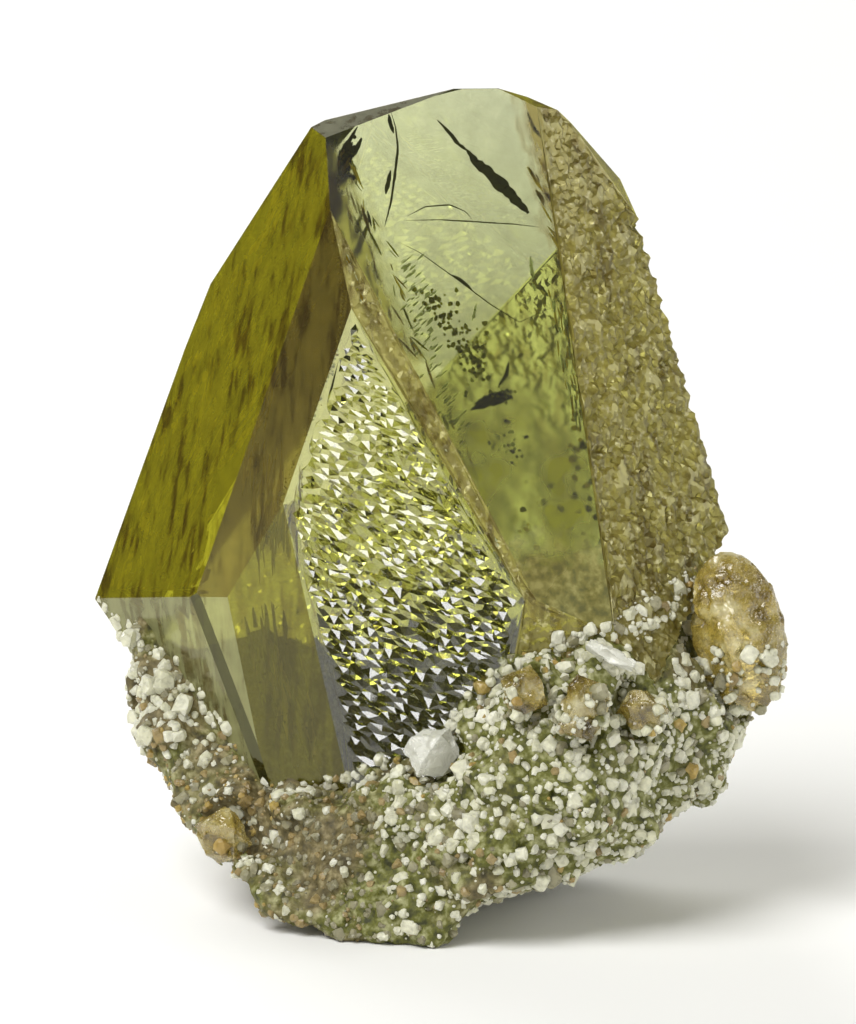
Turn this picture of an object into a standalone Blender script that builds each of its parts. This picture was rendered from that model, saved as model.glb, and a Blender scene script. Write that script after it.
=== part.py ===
"""A titanite crystal on its matrix: a hand specimen that stands on the flat broken foot of its rock.

Every place is first given in the front view, in millimetres: x to the right, z up and depth
towards the viewer. The specimen then leans back by LEAN and is cut flat where it stands.
"""
import itertools
import math
import random

import bmesh
import bpy
from mathutils import Euler, Matrix, Vector, noise

MM = 0.001
LEAN = Matrix.Rotation(math.radians(-12.0), 3, "X")
FOOT_LIFT = -0.25
STANCE_SHIFT = (0.120, -2.284)
SNAP = 1e-6
GAP = 0.35
SEED = 7
CRYSTAL_BLOCK = 80
FLOOR_BLOCK = 60
SMALL_BLOCK = 40

# Corners of the big crystal, where three or more of its faces meet
RIDGE_TOP = (-3.92, 25.00, 3.90)
PIT_TOP = (-3.18, 21.57, 4.26)
PIT_FOOT = (2.81, 11.50, 4.84)
PIT_LEFT = (-5.58, 14.78, 1.88)
PIT_ROOT = (-3.08, 3.90, 0.80)
WINDOW_LEFT = (-4.08, 27.51, 3.33)
WINDOW_TOP_LEFT = (0.38, 29.27, 1.33)
WINDOW_TOP = (1.92, 29.30, 0.78)
WINDOW_TOP_RIGHT = (3.27, 28.66, 0.47)
WINDOW_FOOT = (3.19, 11.48, 4.79)
WINDOW_FOOT_RIGHT = (5.94, 10.25, 4.14)
STEP_RIGHT = (-7.52, 11.54, 0.11)
STEP_MIDDLE = (-8.68, 11.54, -0.82)
STEP_LEFT = (-12.30, 11.54, -5.78)
PALE_ROOT = (-6.24, 5.19, -0.62)
LEFT_TOP = (-4.60, 27.89, 2.58)
LEFT_SHOULDER = (-8.39, 22.17, -1.85)
RIGHT_SHOULDER = (6.79, 24.90, -1.30)
RIGHT_CORNER = (9.93, 13.86, -0.40)
RIGHT_ROOT = (7.41, 8.50, 3.46)
BURIED_UPPER = (2.55, 10.03, 4.44)
BURIED_LOWER = (1.99, 6.89, 3.57)
BURIED_RIGHT = (5.49, 10.45, 4.24)
BEVEL_TOP = (4.32, 28.64, -0.57)
BEVEL_INNER = (4.18, 28.54, -0.26)
BEVEL_OUTER = (6.10, 26.50, -1.57)
BEVEL_BACK = (4.44, 28.59, -0.72)
CREST_LEFT = (-1.46, 28.81, 1.70)
CREST_BACK_LEFT = (0.43, 29.23, 1.00)
CREST_BACK = (1.71, 29.22, 0.18)
CREST_BACK_RIGHT = (4.15, 28.29, -2.47)
BACK_TOP = (1.00, 29.20, 0.50)
BACK_TOP_LEFT = (0.00, 29.20, 0.61)
BACK_TOP_LOW = (1.00, 24.20, -1.83)
BACK_MIDDLE_LEFT = (-5.00, 24.00, -4.60)
BACK_MIDDLE_RIGHT = (5.00, 24.00, -3.29)
BACK_MIDDLE_LOW = (0.00, 14.00, -5.32)
BACK_LOW_LEFT = (-5.00, 24.00, -5.96)
BACK_LOW_RIGHT = (5.00, 24.00, -3.62)
BACK_LOW_FOOT = (0.00, 14.00, -6.57)
BACK_LEFT_INNER = (-6.00, 17.00, -4.28)
BACK_UPPER_INNER = (-2.00, 24.00, -9.12)
BACK_RIGHT_INNER = (4.00, 12.00, -2.47)
BACK_FOOT_LEFT = (-11.90, 11.40, -6.30)
BACK_FOOT_RIGHT = (3.70, 10.40, -5.30)
ROOT_BACK_LEFT = (-11.90, 11.40, -7.50)
ROOT_BACK_RIGHT = (3.70, 10.40, -7.50)
ROOT_BACK_LOW = (-3.00, 3.90, -3.50)
ROOT_BACK = (-3.00, 3.90, -2.80)
ROOT_LEFT = (-7.03, 3.90, -2.34)
ROOT_LEFT_TOP = (-12.30, 11.40, -5.80)

# Each face of the big crystal is the plane through three of its corners
CRYSTAL_FACES = {
    "window": (RIDGE_TOP, WINDOW_TOP, WINDOW_FOOT_RIGHT),
    "ridge": (RIDGE_TOP, PIT_TOP, WINDOW_FOOT),
    "pitted": (PIT_TOP, PIT_FOOT, PIT_ROOT),
    "brown_side": (RIDGE_TOP, PIT_TOP, STEP_MIDDLE),
    "left": (RIDGE_TOP, WINDOW_LEFT, STEP_MIDDLE),
    "honey_foot": (PIT_LEFT, PIT_ROOT, PALE_ROOT),
    "pale_foot": (STEP_RIGHT, STEP_MIDDLE, PALE_ROOT),
    "pale_foot_left": (STEP_MIDDLE, STEP_LEFT, PALE_ROOT),
    "buried_front": (BURIED_UPPER, BURIED_LOWER, BURIED_RIGHT),
    "rough": (WINDOW_TOP_RIGHT, WINDOW_FOOT_RIGHT, RIGHT_CORNER),
    "top_strip": (WINDOW_LEFT, WINDOW_TOP_LEFT, LEFT_TOP),
    "top_right": (WINDOW_TOP, WINDOW_TOP_RIGHT, BEVEL_TOP),
    "bevel": (BEVEL_INNER, RIGHT_SHOULDER, BEVEL_OUTER),
    "back_upper_left": (LEFT_TOP, LEFT_SHOULDER, BACK_UPPER_INNER),
    "back_left": (LEFT_SHOULDER, STEP_LEFT, BACK_LEFT_INNER),
    "rough_back": (RIGHT_SHOULDER, RIGHT_CORNER, BACK_RIGHT_INNER),
    "root_right": (RIGHT_CORNER, RIGHT_ROOT, BACK_FOOT_RIGHT),
    "root_left": (ROOT_LEFT_TOP, ROOT_LEFT, BACK_FOOT_LEFT),
    "root_back": (ROOT_BACK_LEFT, ROOT_BACK_RIGHT, ROOT_BACK_LOW),
    "crest_left": (WINDOW_TOP_LEFT, CREST_LEFT, CREST_BACK_LEFT),
    "crest": (WINDOW_TOP_LEFT, WINDOW_TOP, CREST_BACK),
    "crest_right": (WINDOW_TOP, BEVEL_TOP, CREST_BACK_RIGHT),
    "crest_bevel": (BEVEL_BACK, BEVEL_OUTER, CREST_BACK_RIGHT),
    "back_top": (BACK_TOP, BACK_TOP_LEFT, BACK_TOP_LOW),
    "back_middle": (BACK_MIDDLE_LEFT, BACK_MIDDLE_RIGHT, BACK_MIDDLE_LOW),
    "back_low": (BACK_LOW_LEFT, BACK_LOW_RIGHT, BACK_LOW_FOOT),
    "root": (PIT_ROOT, ROOT_BACK, ROOT_LEFT),
}
CRYSTAL_HEART = (0.0, 15.0, 0.0)
PIT_ROUNDS = 3
PIT_HEIGHT = 0.22
PIT_HEIGHT_SHARES = (0.3, 1.0)
PIT_SHIFT = 0.18
PIT_TIP_LEAN = 0.30
ROUGH_ROUNDS = 4
ROUGH_HEIGHT = 0.30
ROUGH_LUMP_SIZES = (0.9, 0.4)
ROUGH_FINE_SHARE = 0.6
ROUGH_LUMP_TOP = 0.4
FACING_VIEWER = -1e-3

# The broken edge of the rock in the front view, clockwise from its upper left
ROCK_HEART = (0.0, 6.0)
ROCK_EDGE = (
    (-11.9, 11.2), (-10.2, 11.6), (-6.7, 11.0), (-1.5, 11.0), (2.7, 11.4), (7.2, 12.0), (8.9, 12.0),
    (9.9, 10.6), (11.0, 8.6), (11.3, 7.2), (10.2, 5.6), (8.3, 3.6), (6.9, 2.5), (3.9, 1.9),
    (2.2, 0.9), (-0.4, -0.6), (-1.6, -0.8), (-3.2, -0.5), (-6.2, 0.9), (-8.3, 2.4), (-9.8, 4.5),
    (-10.9, 6.4), (-11.0, 7.9),
)
# The line along which the rock meets the crystal's front, from left to right
CONTACT_LINE = (
    (-12.5, 11.5), (-10.3, 10.0), (-8.0, 7.1), (-6.3, 4.8), (-3.4, 5.2), (-0.5, 6.4), (2.3, 9.3),
    (5.5, 10.6), (9.0, 12.6), (12.5, 13.0),
)
CONTACT_SIDES = (-11.0, 9.0)
CONTACT_TOP = 12.0
ROCK_ROUNDS = 5
ROCK_EDGE_GRAINS = 0.42
ROCK_EDGE_FULLNESS = 0.75
ROCK_REACH = 8.0
ROCK_COVER = 1.9
ROCK_COVER_RUN = 1.1
ROCK_LEAN_BACK = 0.8
ROCK_BACK = -8.0
ROCK_FRONT_FULLNESS = 0.45
ROCK_BACK_FULLNESS = 0.33
ROCK_FOOT_DEPTH = 3.3
ROCK_FOOT_HEIGHT = 5.0
ROCK_MIDDLE_DEPTH = -0.8
ROCK_SWEEP_START = -3.0
ROCK_LEFT_SWEEP = 0.30
LUMP_SIZE = 1.9
LUMP_HEIGHT = 0.40
GRAIN_COUNT = 260
GRAIN_HALF = (0.30, 0.62)
SKIN_SIZE = 0.33
SKIN_SHARE = 0.180

# Small crystals on the rock: name, place in the front view, how far the centre stands proud of the
# rock, half sizes, turn in degrees, rounded or not, colour
SMALL_CRYSTALS = (
    ("honey_titanite_right", (10.30, 10.35), -1.10, (1.75, 1.60, 2.95), (6, -12, -14), True, "honey"),
    ("honey_titanite_middle", (4.80, 7.75), 0.35, (0.80, 0.60, 1.10), (10, 14, 38), False, "honey"),
    ("honey_titanite_left", (2.75, 8.30), 0.25, (0.70, 0.60, 0.85), (-12, -20, 20), False, "honey"),
    ("honey_titanite_small", (6.90, 7.60), 0.25, (0.80, 0.60, 0.70), (18, 35, 10), False, "honey"),
    ("honey_titanite_lower", (-7.70, 3.20), 0.10, (0.80, 0.65, 0.90), (15, -30, -20), False, "honey"),
    ("adularia_blade", (5.80, 9.55), 0.30, (0.95, 0.30, 0.28), (10, 25, -8), False, "white"),
    ("adularia_block", (-0.40, 6.15), 0.45, (0.85, 0.60, 0.80), (12, -12, 30), False, "white"),
)

CORNER_LEANS = (0.5, 1.1)
CORNER_CUTS = (0.58, 0.74)
ROUNDED_ROUNDS = 3
ROUNDED_CUTS = (0.78, 0.86)
ROUNDED_FLATS = ((1, -1, 0.6), (-1, -1, -0.2), (0.3, -1, -1.2), (1, 0.8, -0.5), (-0.4, 1, 0.9))

COLOURS = {
    "titanite": ((0.19, 0.19, 0.02, 1.0), 0.12),
    "honey": ((0.32, 0.23, 0.06, 1.0), 0.25),
    "white": ((0.62, 0.62, 0.55, 1.0), 0.35),
    "rock": ((0.33, 0.31, 0.20, 1.0), 0.75),
}


def front_point(x, z, depth):
    """A point of the front view, in metres, before the specimen leans back."""
    return Vector((x, -depth, z)) * MM


def stand(mesh):
    """Lean the piece back and set it over the foot."""
    move = Matrix.Translation(Vector((STANCE_SHIFT[0], STANCE_SHIFT[1], FOOT_LIFT)) * MM)
    bmesh.ops.transform(mesh, matrix=move @ LEAN.to_4x4(), verts=mesh.verts)


def make_material(name):
    colour, roughness = COLOURS[name]
    material = bpy.data.materials.new(name)
    material.use_nodes = True
    shader = material.node_tree.nodes["Principled BSDF"]
    shader.inputs["Base Color"].default_value = colour
    shader.inputs["Roughness"].default_value = roughness
    shader.inputs["Metallic"].default_value = 0.0
    return material


def add_object(name, mesh, collection, material=None):
    """Turn a bmesh into a named object."""
    bmesh.ops.triangulate(mesh, faces=mesh.faces, quad_method="BEAUTY", ngon_method="BEAUTY")
    bmesh.ops.recalc_face_normals(mesh, faces=mesh.faces)
    data = bpy.data.meshes.new(name)
    mesh.to_mesh(data)
    mesh.free()
    if material:
        data.materials.append(material)
    piece = bpy.data.objects.new(name, data)
    collection.objects.link(piece)
    return piece


def face_plane(corners, heart):
    """A point on the plane through three corners, and its normal pointing away from the heart."""
    first, second, third = (front_point(*corner) for corner in corners)
    normal = (second - first).cross(third - first).normalized()
    if normal.dot(front_point(*heart) - first) > 0:
        normal.negate()
    return first, normal


def cut_face(mesh, point, normal):
    """Cut everything off beyond a plane and close the cut with one flat face."""
    geometry = mesh.verts[:] + mesh.edges[:] + mesh.faces[:]
    result = bmesh.ops.bisect_plane(mesh, geom=geometry, dist=SNAP, plane_co=point,
                                    plane_no=normal, clear_outer=True)
    rim = [part for part in result["geom_cut"] if isinstance(part, bmesh.types.BMEdge)]
    if not rim:
        return []
    return bmesh.ops.edgeloop_fill(mesh, edges=rim)["faces"]


def crystal_body(clearance):
    """The big crystal as a block cut by its faces, each moved out by the clearance."""
    mesh = bmesh.new()
    label = mesh.faces.layers.int.new("face")
    bmesh.ops.create_cube(mesh, size=CRYSTAL_BLOCK * MM)
    for number, corners in enumerate(CRYSTAL_FACES.values()):
        point, normal = face_plane(corners, CRYSTAL_HEART)
        for face in cut_face(mesh, point + normal * clearance, normal):
            face[label] = number
    return mesh, label


def split_faces(mesh, faces, rounds):
    """Split flat faces into an even net of small triangles."""
    net = bmesh.ops.poke(mesh, faces=faces)["faces"]
    for _ in range(rounds):
        edges = list({edge for face in net for edge in face.edges})
        numbers = {face[mesh.faces.layers.int["face"]] for face in net}
        bmesh.ops.subdivide_edges(mesh, edges=edges, cuts=1, use_grid_fill=True)
        label = mesh.faces.layers.int["face"]
        net = [face for face in mesh.faces if face[label] in numbers and len(face.verts) <= 4]
    return net


def raise_pits(mesh, label, dice):
    """Etch the pitted face: each small triangle becomes a low pyramid with an off-centre tip."""
    number = list(CRYSTAL_FACES).index("pitted")
    face_normal = face_plane(CRYSTAL_FACES["pitted"], CRYSTAL_HEART)[1]
    net = split_faces(mesh, [face for face in mesh.faces if face[label] == number], PIT_ROUNDS)
    inner = {vert for face in net for vert in face.verts
             if all(near[label] == number for near in vert.link_faces)}
    for vert in sorted(inner, key=lambda each: tuple(each.co)):
        side = Vector([dice.uniform(-PIT_SHIFT, PIT_SHIFT) * MM for _ in range(3)])
        vert.co += side - face_normal * side.dot(face_normal)
    for tip in bmesh.ops.poke(mesh, faces=net)["verts"]:
        corners = sorted((edge.other_vert(tip).co.copy() for edge in tip.link_edges),
                         key=lambda corner: corner.x - corner.z)
        height = dice.uniform(*PIT_HEIGHT_SHARES) * PIT_HEIGHT * MM
        tip.co = tip.co.lerp(corners[-1], PIT_TIP_LEAN) + face_normal * height


def roughen(mesh, label):
    """Give the etched right side and its back a lumpy skin."""
    numbers = [list(CRYSTAL_FACES).index(name) for name in ("rough", "rough_back")]
    split_faces(mesh, [face for face in mesh.faces if face[label] in numbers], ROUGH_ROUNDS)
    for vert in mesh.verts:
        if not all(near[label] in numbers for near in vert.link_faces):
            continue
        away = sum((near.normal for near in vert.link_faces), Vector()).normalized()
        coarse, fine = (noise.noise(vert.co / (size * MM)) for size in ROUGH_LUMP_SIZES)
        lump = coarse + ROUGH_FINE_SHARE * fine
        vert.co += away * min(lump, ROUGH_LUMP_TOP) * ROUGH_HEIGHT * MM


def make_titanite(collection):
    dice = random.Random(SEED)
    mesh, label = crystal_body(0.0)
    mesh.normal_update()
    raise_pits(mesh, label, dice)
    mesh.normal_update()
    roughen(mesh, label)
    stand(mesh)
    return add_object("titanite_crystal", mesh, collection, make_material("titanite"))


def crystal_front(x, z):
    """How far towards the viewer the big crystal reaches at a place of the front view."""
    depths = []
    for corners in CRYSTAL_FACES.values():
        point, normal = face_plane(corners, CRYSTAL_HEART)
        if normal.y > FACING_VIEWER:
            continue
        offset = normal.dot(point) - normal.x * x * MM - normal.z * z * MM
        depths.append(-offset / normal.y / MM)
    return min(depths)


def line_height(line, x):
    """The height of a line of points at x, straight between its points."""
    for (x0, z0), (x1, z1) in zip(line, line[1:]):
        if x <= x1:
            return z0 + (z1 - z0) * (max(x, x0) - x0) / (x1 - x0)
    return line[-1][1]


def edge_distance(angle):
    """How far the rock's broken edge lies from its heart in one direction."""
    way = Vector((math.cos(angle), math.sin(angle)))
    heart = Vector(ROCK_HEART)
    for first, second in zip(ROCK_EDGE, ROCK_EDGE[1:] + ROCK_EDGE[:1]):
        start = Vector(first) - heart
        run = Vector(second) - Vector(first)
        across = way.x * run.y - way.y * run.x
        if abs(across) < SNAP:
            continue
        reach = (start.x * run.y - start.y * run.x) / across
        share = (start.x * way.y - start.y * way.x) / across
        if reach > 0 and 0 <= share <= 1:
            return reach
    return ROCK_REACH


def rock_front(x, z):
    """The depth of the rock's front: flush with the crystal at the contact line, proud below it."""
    contact = line_height(CONTACT_LINE, x)
    side = min(max(x, CONTACT_SIDES[0]), CONTACT_SIDES[1])
    depth = crystal_front(side, min(line_height(CONTACT_LINE, side), CONTACT_TOP))
    below = contact - z
    if below < 0:
        return depth + ROCK_LEAN_BACK * below
    return depth + ROCK_COVER * (1 - math.exp(-below / ROCK_COVER_RUN))


def rock_point(way):
    """Where a direction of the unit sphere lands on the rock's skin."""
    angle = math.atan2(way.z, way.x)
    spread = math.hypot(way.x, way.z)
    reach = (edge_distance(angle) - ROCK_EDGE_GRAINS) * spread ** ROCK_EDGE_FULLNESS
    x = ROCK_HEART[0] + math.cos(angle) * reach
    z = ROCK_HEART[1] + math.sin(angle) * reach
    up = min(max(z / ROCK_FOOT_HEIGHT, 0.0), 1.0)
    middle = ROCK_FOOT_DEPTH + (ROCK_MIDDLE_DEPTH - ROCK_FOOT_DEPTH) * up
    middle += ROCK_LEFT_SWEEP * min(x - ROCK_SWEEP_START, 0.0) * up
    if way.y < 0:
        side = rock_front(x, z)
        thick = abs(way.y) ** ROCK_FRONT_FULLNESS
    else:
        side = ROCK_BACK
        thick = abs(way.y) ** ROCK_BACK_FULLNESS
    return front_point(x, z, middle + (side - middle) * thick)


def add_grains(mesh, dice):
    """Set angular feldspar grains half into the rock's skin."""
    for vert in dice.sample(mesh.verts[:], GRAIN_COUNT):
        half = [dice.uniform(*GRAIN_HALF) * MM for _ in range(3)]
        turn = Euler([dice.uniform(0, math.tau) for _ in range(3)]).to_matrix().to_4x4()
        frame = Matrix.Translation(vert.co) @ turn @ Matrix.Diagonal((*half, 1.0))
        bmesh.ops.create_cube(mesh, size=2.0, matrix=frame)
        mesh.verts.ensure_lookup_table()


def make_rock(collection, cutters):
    dice = random.Random(SEED)
    mesh = bmesh.new()
    bmesh.ops.create_icosphere(mesh, subdivisions=ROCK_ROUNDS, radius=1.0)
    for vert in mesh.verts:
        vert.co = rock_point(vert.co)
    bmesh.ops.recalc_face_normals(mesh, faces=mesh.faces)
    mesh.normal_update()
    height = LUMP_HEIGHT * MM
    moves = [vert.normal * noise.noise(vert.co / (LUMP_SIZE * MM)) * height for vert in mesh.verts]
    for vert, move in zip(mesh.verts, moves):
        vert.co += move
    add_grains(mesh, dice)
    stand(mesh)
    rock = add_object("matrix_rock", mesh, collection, make_material("rock"))
    weather(rock)
    carve(rock, cutters, "MANIFOLD")
    keep_largest(rock)
    return rock


def weather(rock):
    """Fuse the rock's folds into one skin and thin it to its triangle budget."""
    skin = rock.modifiers.new("skin", "REMESH")
    skin.mode = "VOXEL"
    skin.voxel_size = SKIN_SIZE * MM
    thin = rock.modifiers.new("thin", "DECIMATE")
    thin.ratio = SKIN_SHARE


def make_floor(collection):
    """The block below the surface that the specimen stands on."""
    mesh = bmesh.new()
    bmesh.ops.create_cube(mesh, size=FLOOR_BLOCK * MM)
    bmesh.ops.translate(mesh, vec=Vector((0, 0, -FLOOR_BLOCK / 2)) * MM, verts=mesh.verts)
    return make_cutter("floor_cut", mesh, collection)


def stubby_block(half, clearance, dice):
    """A stubby crystal: a block whose eight corners are cut by oblique faces."""
    mesh = bmesh.new()
    bmesh.ops.create_cube(mesh, size=SMALL_BLOCK * MM)
    for axis in range(3):
        for sign in (-1, 1):
            normal = Vector([sign if each == axis else 0 for each in range(3)])
            cut_face(mesh, normal * (half[axis] * MM + clearance), normal)
    for corner in itertools.product((-1, 1), repeat=3):
        lean = [sign * dice.uniform(*CORNER_LEANS) / side for sign, side in zip(corner, half)]
        normal = Vector(lean).normalized()
        reach = Vector([sign * side * MM for sign, side in zip(corner, half)])
        cut_face(mesh, reach * dice.uniform(*CORNER_CUTS) + normal * clearance, normal)
    return mesh


def rounded_block(half, clearance, dice):
    """A rounded crystal: an egg with a few flat faces."""
    mesh = bmesh.new()
    bmesh.ops.create_icosphere(mesh, subdivisions=ROUNDED_ROUNDS, radius=1.0)
    reach = Vector([side * MM + clearance for side in half])
    bmesh.ops.scale(mesh, vec=reach, verts=mesh.verts)
    for lean in ROUNDED_FLATS:
        normal = Vector([part / side for part, side in zip(lean, half)]).normalized()
        touch = math.sqrt(sum((part * side) ** 2 for part, side in zip(normal, half))) * MM
        cut_face(mesh, normal * (touch * dice.uniform(*ROUNDED_CUTS) + clearance), normal)
    return mesh


def small_crystal(number, clearance):
    """One of the small crystals, grown larger all round by the clearance."""
    _, (x, z), proud, half, turn, rounded, _ = SMALL_CRYSTALS[number]
    shape = rounded_block if rounded else stubby_block
    mesh = shape(half, clearance, random.Random(SEED + number))
    spin = Euler([math.radians(degrees) for degrees in turn]).to_matrix().to_4x4()
    move = Matrix.Translation(front_point(x, z, rock_front(x, z) + proud))
    bmesh.ops.transform(mesh, matrix=move @ spin, verts=mesh.verts)
    stand(mesh)
    return mesh


def carve(piece, cutters, solver="EXACT"):
    """Cut neighbours' pockets out of a piece, one Boolean after another."""
    for cutter in cutters:
        modifier = piece.modifiers.new(cutter.name, "BOOLEAN")
        modifier.operation = "DIFFERENCE"
        modifier.solver = solver
        modifier.object = cutter


def keep_largest(piece):
    """Apply the cuts and drop crumbs that they leave loose."""
    graph = bpy.context.evaluated_depsgraph_get()
    data = bpy.data.meshes.new_from_object(piece.evaluated_get(graph))
    piece.modifiers.clear()
    piece.data = data
    mesh = bmesh.new()
    mesh.from_mesh(data)
    left = set(mesh.faces)
    bodies = []
    while left:
        body = set()
        front = [left.pop()]
        while front:
            face = front.pop()
            body.add(face)
            for edge in face.edges:
                near = [each for each in edge.link_faces if each in left]
                left.difference_update(near)
                front.extend(near)
        bodies.append(body)
    bodies.sort(key=len, reverse=True)
    crumbs = [face for body in bodies[1:] for face in body]
    bmesh.ops.delete(mesh, geom=crumbs, context="FACES")
    mesh.to_mesh(data)
    mesh.free()


def make_cutter(name, mesh, collection):
    cutter = add_object(name, mesh, collection)
    cutter.hide_render = True
    cutter.display_type = "WIRE"
    return cutter


def build():
    for old in list(bpy.data.objects):
        bpy.data.objects.remove(old, do_unlink=True)
    parts = bpy.data.collections.new("titanite_specimen")
    pockets = bpy.data.collections.new("pockets")
    bpy.context.scene.collection.children.link(parts)
    bpy.context.scene.collection.children.link(pockets)

    make_titanite(parts)
    body, _ = crystal_body(GAP * MM)
    stand(body)
    big_pocket = make_cutter("pocket_titanite", body, pockets)
    cutters = [make_floor(pockets), big_pocket]
    materials = {name: make_material(name) for name in ("honey", "white")}
    for number, (name, *_, colour) in enumerate(SMALL_CRYSTALS):
        piece = add_object(name, small_crystal(number, 0.0), parts, materials[colour])
        carve(piece, [big_pocket])
        cutters.append(make_cutter("pocket_" + name, small_crystal(number, GAP * MM), pockets))
    make_rock(parts, cutters)


build()
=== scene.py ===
"""A titanite crystal on its matrix, a hand specimen 29 mm tall, on a pale table in soft light.

Places are given in the front view, in millimetres: x to the right, z up and depth towards the
viewer. The whole specimen then leans back and stands on the broken foot of its rock.
"""
import itertools
import math
import random

import bmesh
import bpy
import numpy as np
from mathutils import Euler, Matrix, Vector, noise
from mathutils.bvhtree import BVHTree
from mathutils.geometry import delaunay_2d_cdt


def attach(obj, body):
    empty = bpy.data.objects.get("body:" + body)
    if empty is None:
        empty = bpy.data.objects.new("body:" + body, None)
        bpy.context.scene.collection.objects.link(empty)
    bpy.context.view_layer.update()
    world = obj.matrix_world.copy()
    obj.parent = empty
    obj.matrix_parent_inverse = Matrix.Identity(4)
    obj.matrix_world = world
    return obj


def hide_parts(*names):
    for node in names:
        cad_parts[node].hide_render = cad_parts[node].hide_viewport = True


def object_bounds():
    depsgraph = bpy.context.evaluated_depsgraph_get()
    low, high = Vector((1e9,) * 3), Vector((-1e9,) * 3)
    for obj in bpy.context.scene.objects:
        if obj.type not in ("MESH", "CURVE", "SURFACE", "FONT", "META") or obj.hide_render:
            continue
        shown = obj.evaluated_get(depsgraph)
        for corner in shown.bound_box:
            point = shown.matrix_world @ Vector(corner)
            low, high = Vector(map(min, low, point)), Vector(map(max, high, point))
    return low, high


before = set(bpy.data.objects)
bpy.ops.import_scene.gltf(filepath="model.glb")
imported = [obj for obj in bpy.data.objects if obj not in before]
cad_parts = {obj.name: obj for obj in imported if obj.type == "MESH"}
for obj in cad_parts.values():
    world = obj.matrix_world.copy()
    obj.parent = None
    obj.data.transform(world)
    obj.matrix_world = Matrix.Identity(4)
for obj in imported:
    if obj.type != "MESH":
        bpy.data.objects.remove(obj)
cad_box = [list(corner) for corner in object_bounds()]

# The big crystal: one twinned titanite, wedge-shaped and clear, with the etched faces that grew
# on its front. It is cut from a block by its flat faces, each through three of its corners.
MM = 0.001
BLOCK_SIZE = 80.0
LEAN = Matrix.Rotation(math.radians(-12.0), 4, "X")
STANCE = Matrix.Translation(Vector((0.120, -2.284, -0.25)) * MM) @ LEAN
SNAP = 1e-6
RIDGE_TOP = (-3.92, 25.00, 3.90)
PIT_TOP = (-3.18, 21.57, 4.26)
PIT_FOOT = (2.81, 11.50, 4.84)
PIT_LEFT = (-5.58, 14.78, 1.88)
PIT_ROOT = (-3.08, 3.90, 0.80)
WINDOW_LEFT = (-4.08, 27.51, 3.33)
WINDOW_TOP_LEFT = (0.38, 29.27, 1.33)
WINDOW_TOP = (1.92, 29.30, 0.78)
WINDOW_TOP_RIGHT = (3.27, 28.66, 0.47)
WINDOW_FOOT = (3.19, 11.48, 4.79)
WINDOW_FOOT_RIGHT = (5.94, 10.25, 4.14)
STEP_RIGHT = (-7.52, 11.54, 0.11)
STEP_MIDDLE = (-8.68, 11.54, -0.82)
STEP_LEFT = (-12.30, 11.54, -5.78)
PALE_ROOT = (-6.24, 5.19, -0.62)
LEFT_TOP = (-4.60, 27.89, 2.58)
LEFT_SHOULDER = (-8.39, 22.17, -1.85)
RIGHT_SHOULDER = (6.79, 24.90, -1.30)
RIGHT_CORNER = (9.93, 13.86, -0.40)
RIGHT_ROOT = (7.41, 8.50, 3.46)
BURIED_UPPER = (2.55, 10.03, 4.44)
BURIED_LOWER = (1.99, 6.89, 3.57)
BURIED_RIGHT = (5.49, 10.45, 4.24)
BEVEL_TOP = (4.32, 28.64, -0.57)
BEVEL_INNER = (4.18, 28.54, -0.26)
BEVEL_OUTER = (6.10, 26.50, -1.57)
BEVEL_BACK = (4.44, 28.59, -0.72)
CREST_LEFT = (-1.46, 28.81, 1.70)
CREST_BACK_LEFT = (0.43, 29.23, 1.00)
CREST_BACK = (1.71, 29.22, 0.18)
CREST_BACK_RIGHT = (4.15, 28.29, -2.47)
BACK_TOP = (1.00, 29.20, 0.50)
BACK_TOP_LEFT = (0.00, 29.20, 0.61)
BACK_TOP_LOW = (1.00, 24.20, -1.83)
BACK_MIDDLE_LEFT = (-5.00, 24.00, -4.60)
BACK_MIDDLE_RIGHT = (5.00, 24.00, -3.29)
BACK_MIDDLE_LOW = (0.00, 14.00, -5.32)
BACK_LOW_LEFT = (-5.00, 24.00, -5.96)
BACK_LOW_RIGHT = (5.00, 24.00, -3.62)
BACK_LOW_FOOT = (0.00, 14.00, -6.57)
BACK_LEFT_INNER = (-6.00, 17.00, -4.28)
BACK_UPPER_INNER = (-2.00, 24.00, -9.12)
BACK_RIGHT_INNER = (4.00, 12.00, -2.47)
BACK_FOOT_LEFT = (-11.90, 11.40, -6.30)
BACK_FOOT_RIGHT = (3.70, 10.40, -5.30)
ROOT_BACK_LEFT = (-11.90, 11.40, -7.50)
ROOT_BACK_RIGHT = (3.70, 10.40, -7.50)
ROOT_BACK_LOW = (-3.00, 3.90, -3.50)
ROOT_BACK = (-3.00, 3.90, -2.80)
ROOT_LEFT = (-7.03, 3.90, -2.34)
ROOT_LEFT_TOP = (-12.30, 11.40, -5.80)
PALE_BEVEL_LEFT = (-8.89, 11.54, -1.10)
PALE_BEVEL_RIGHT = (-8.48, 11.54, -0.66)
PALE_BEVEL_FOOT = (-6.40, 5.19, -0.85)
CRYSTAL_HEART = (0.0, 15.0, 0.0)
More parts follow.
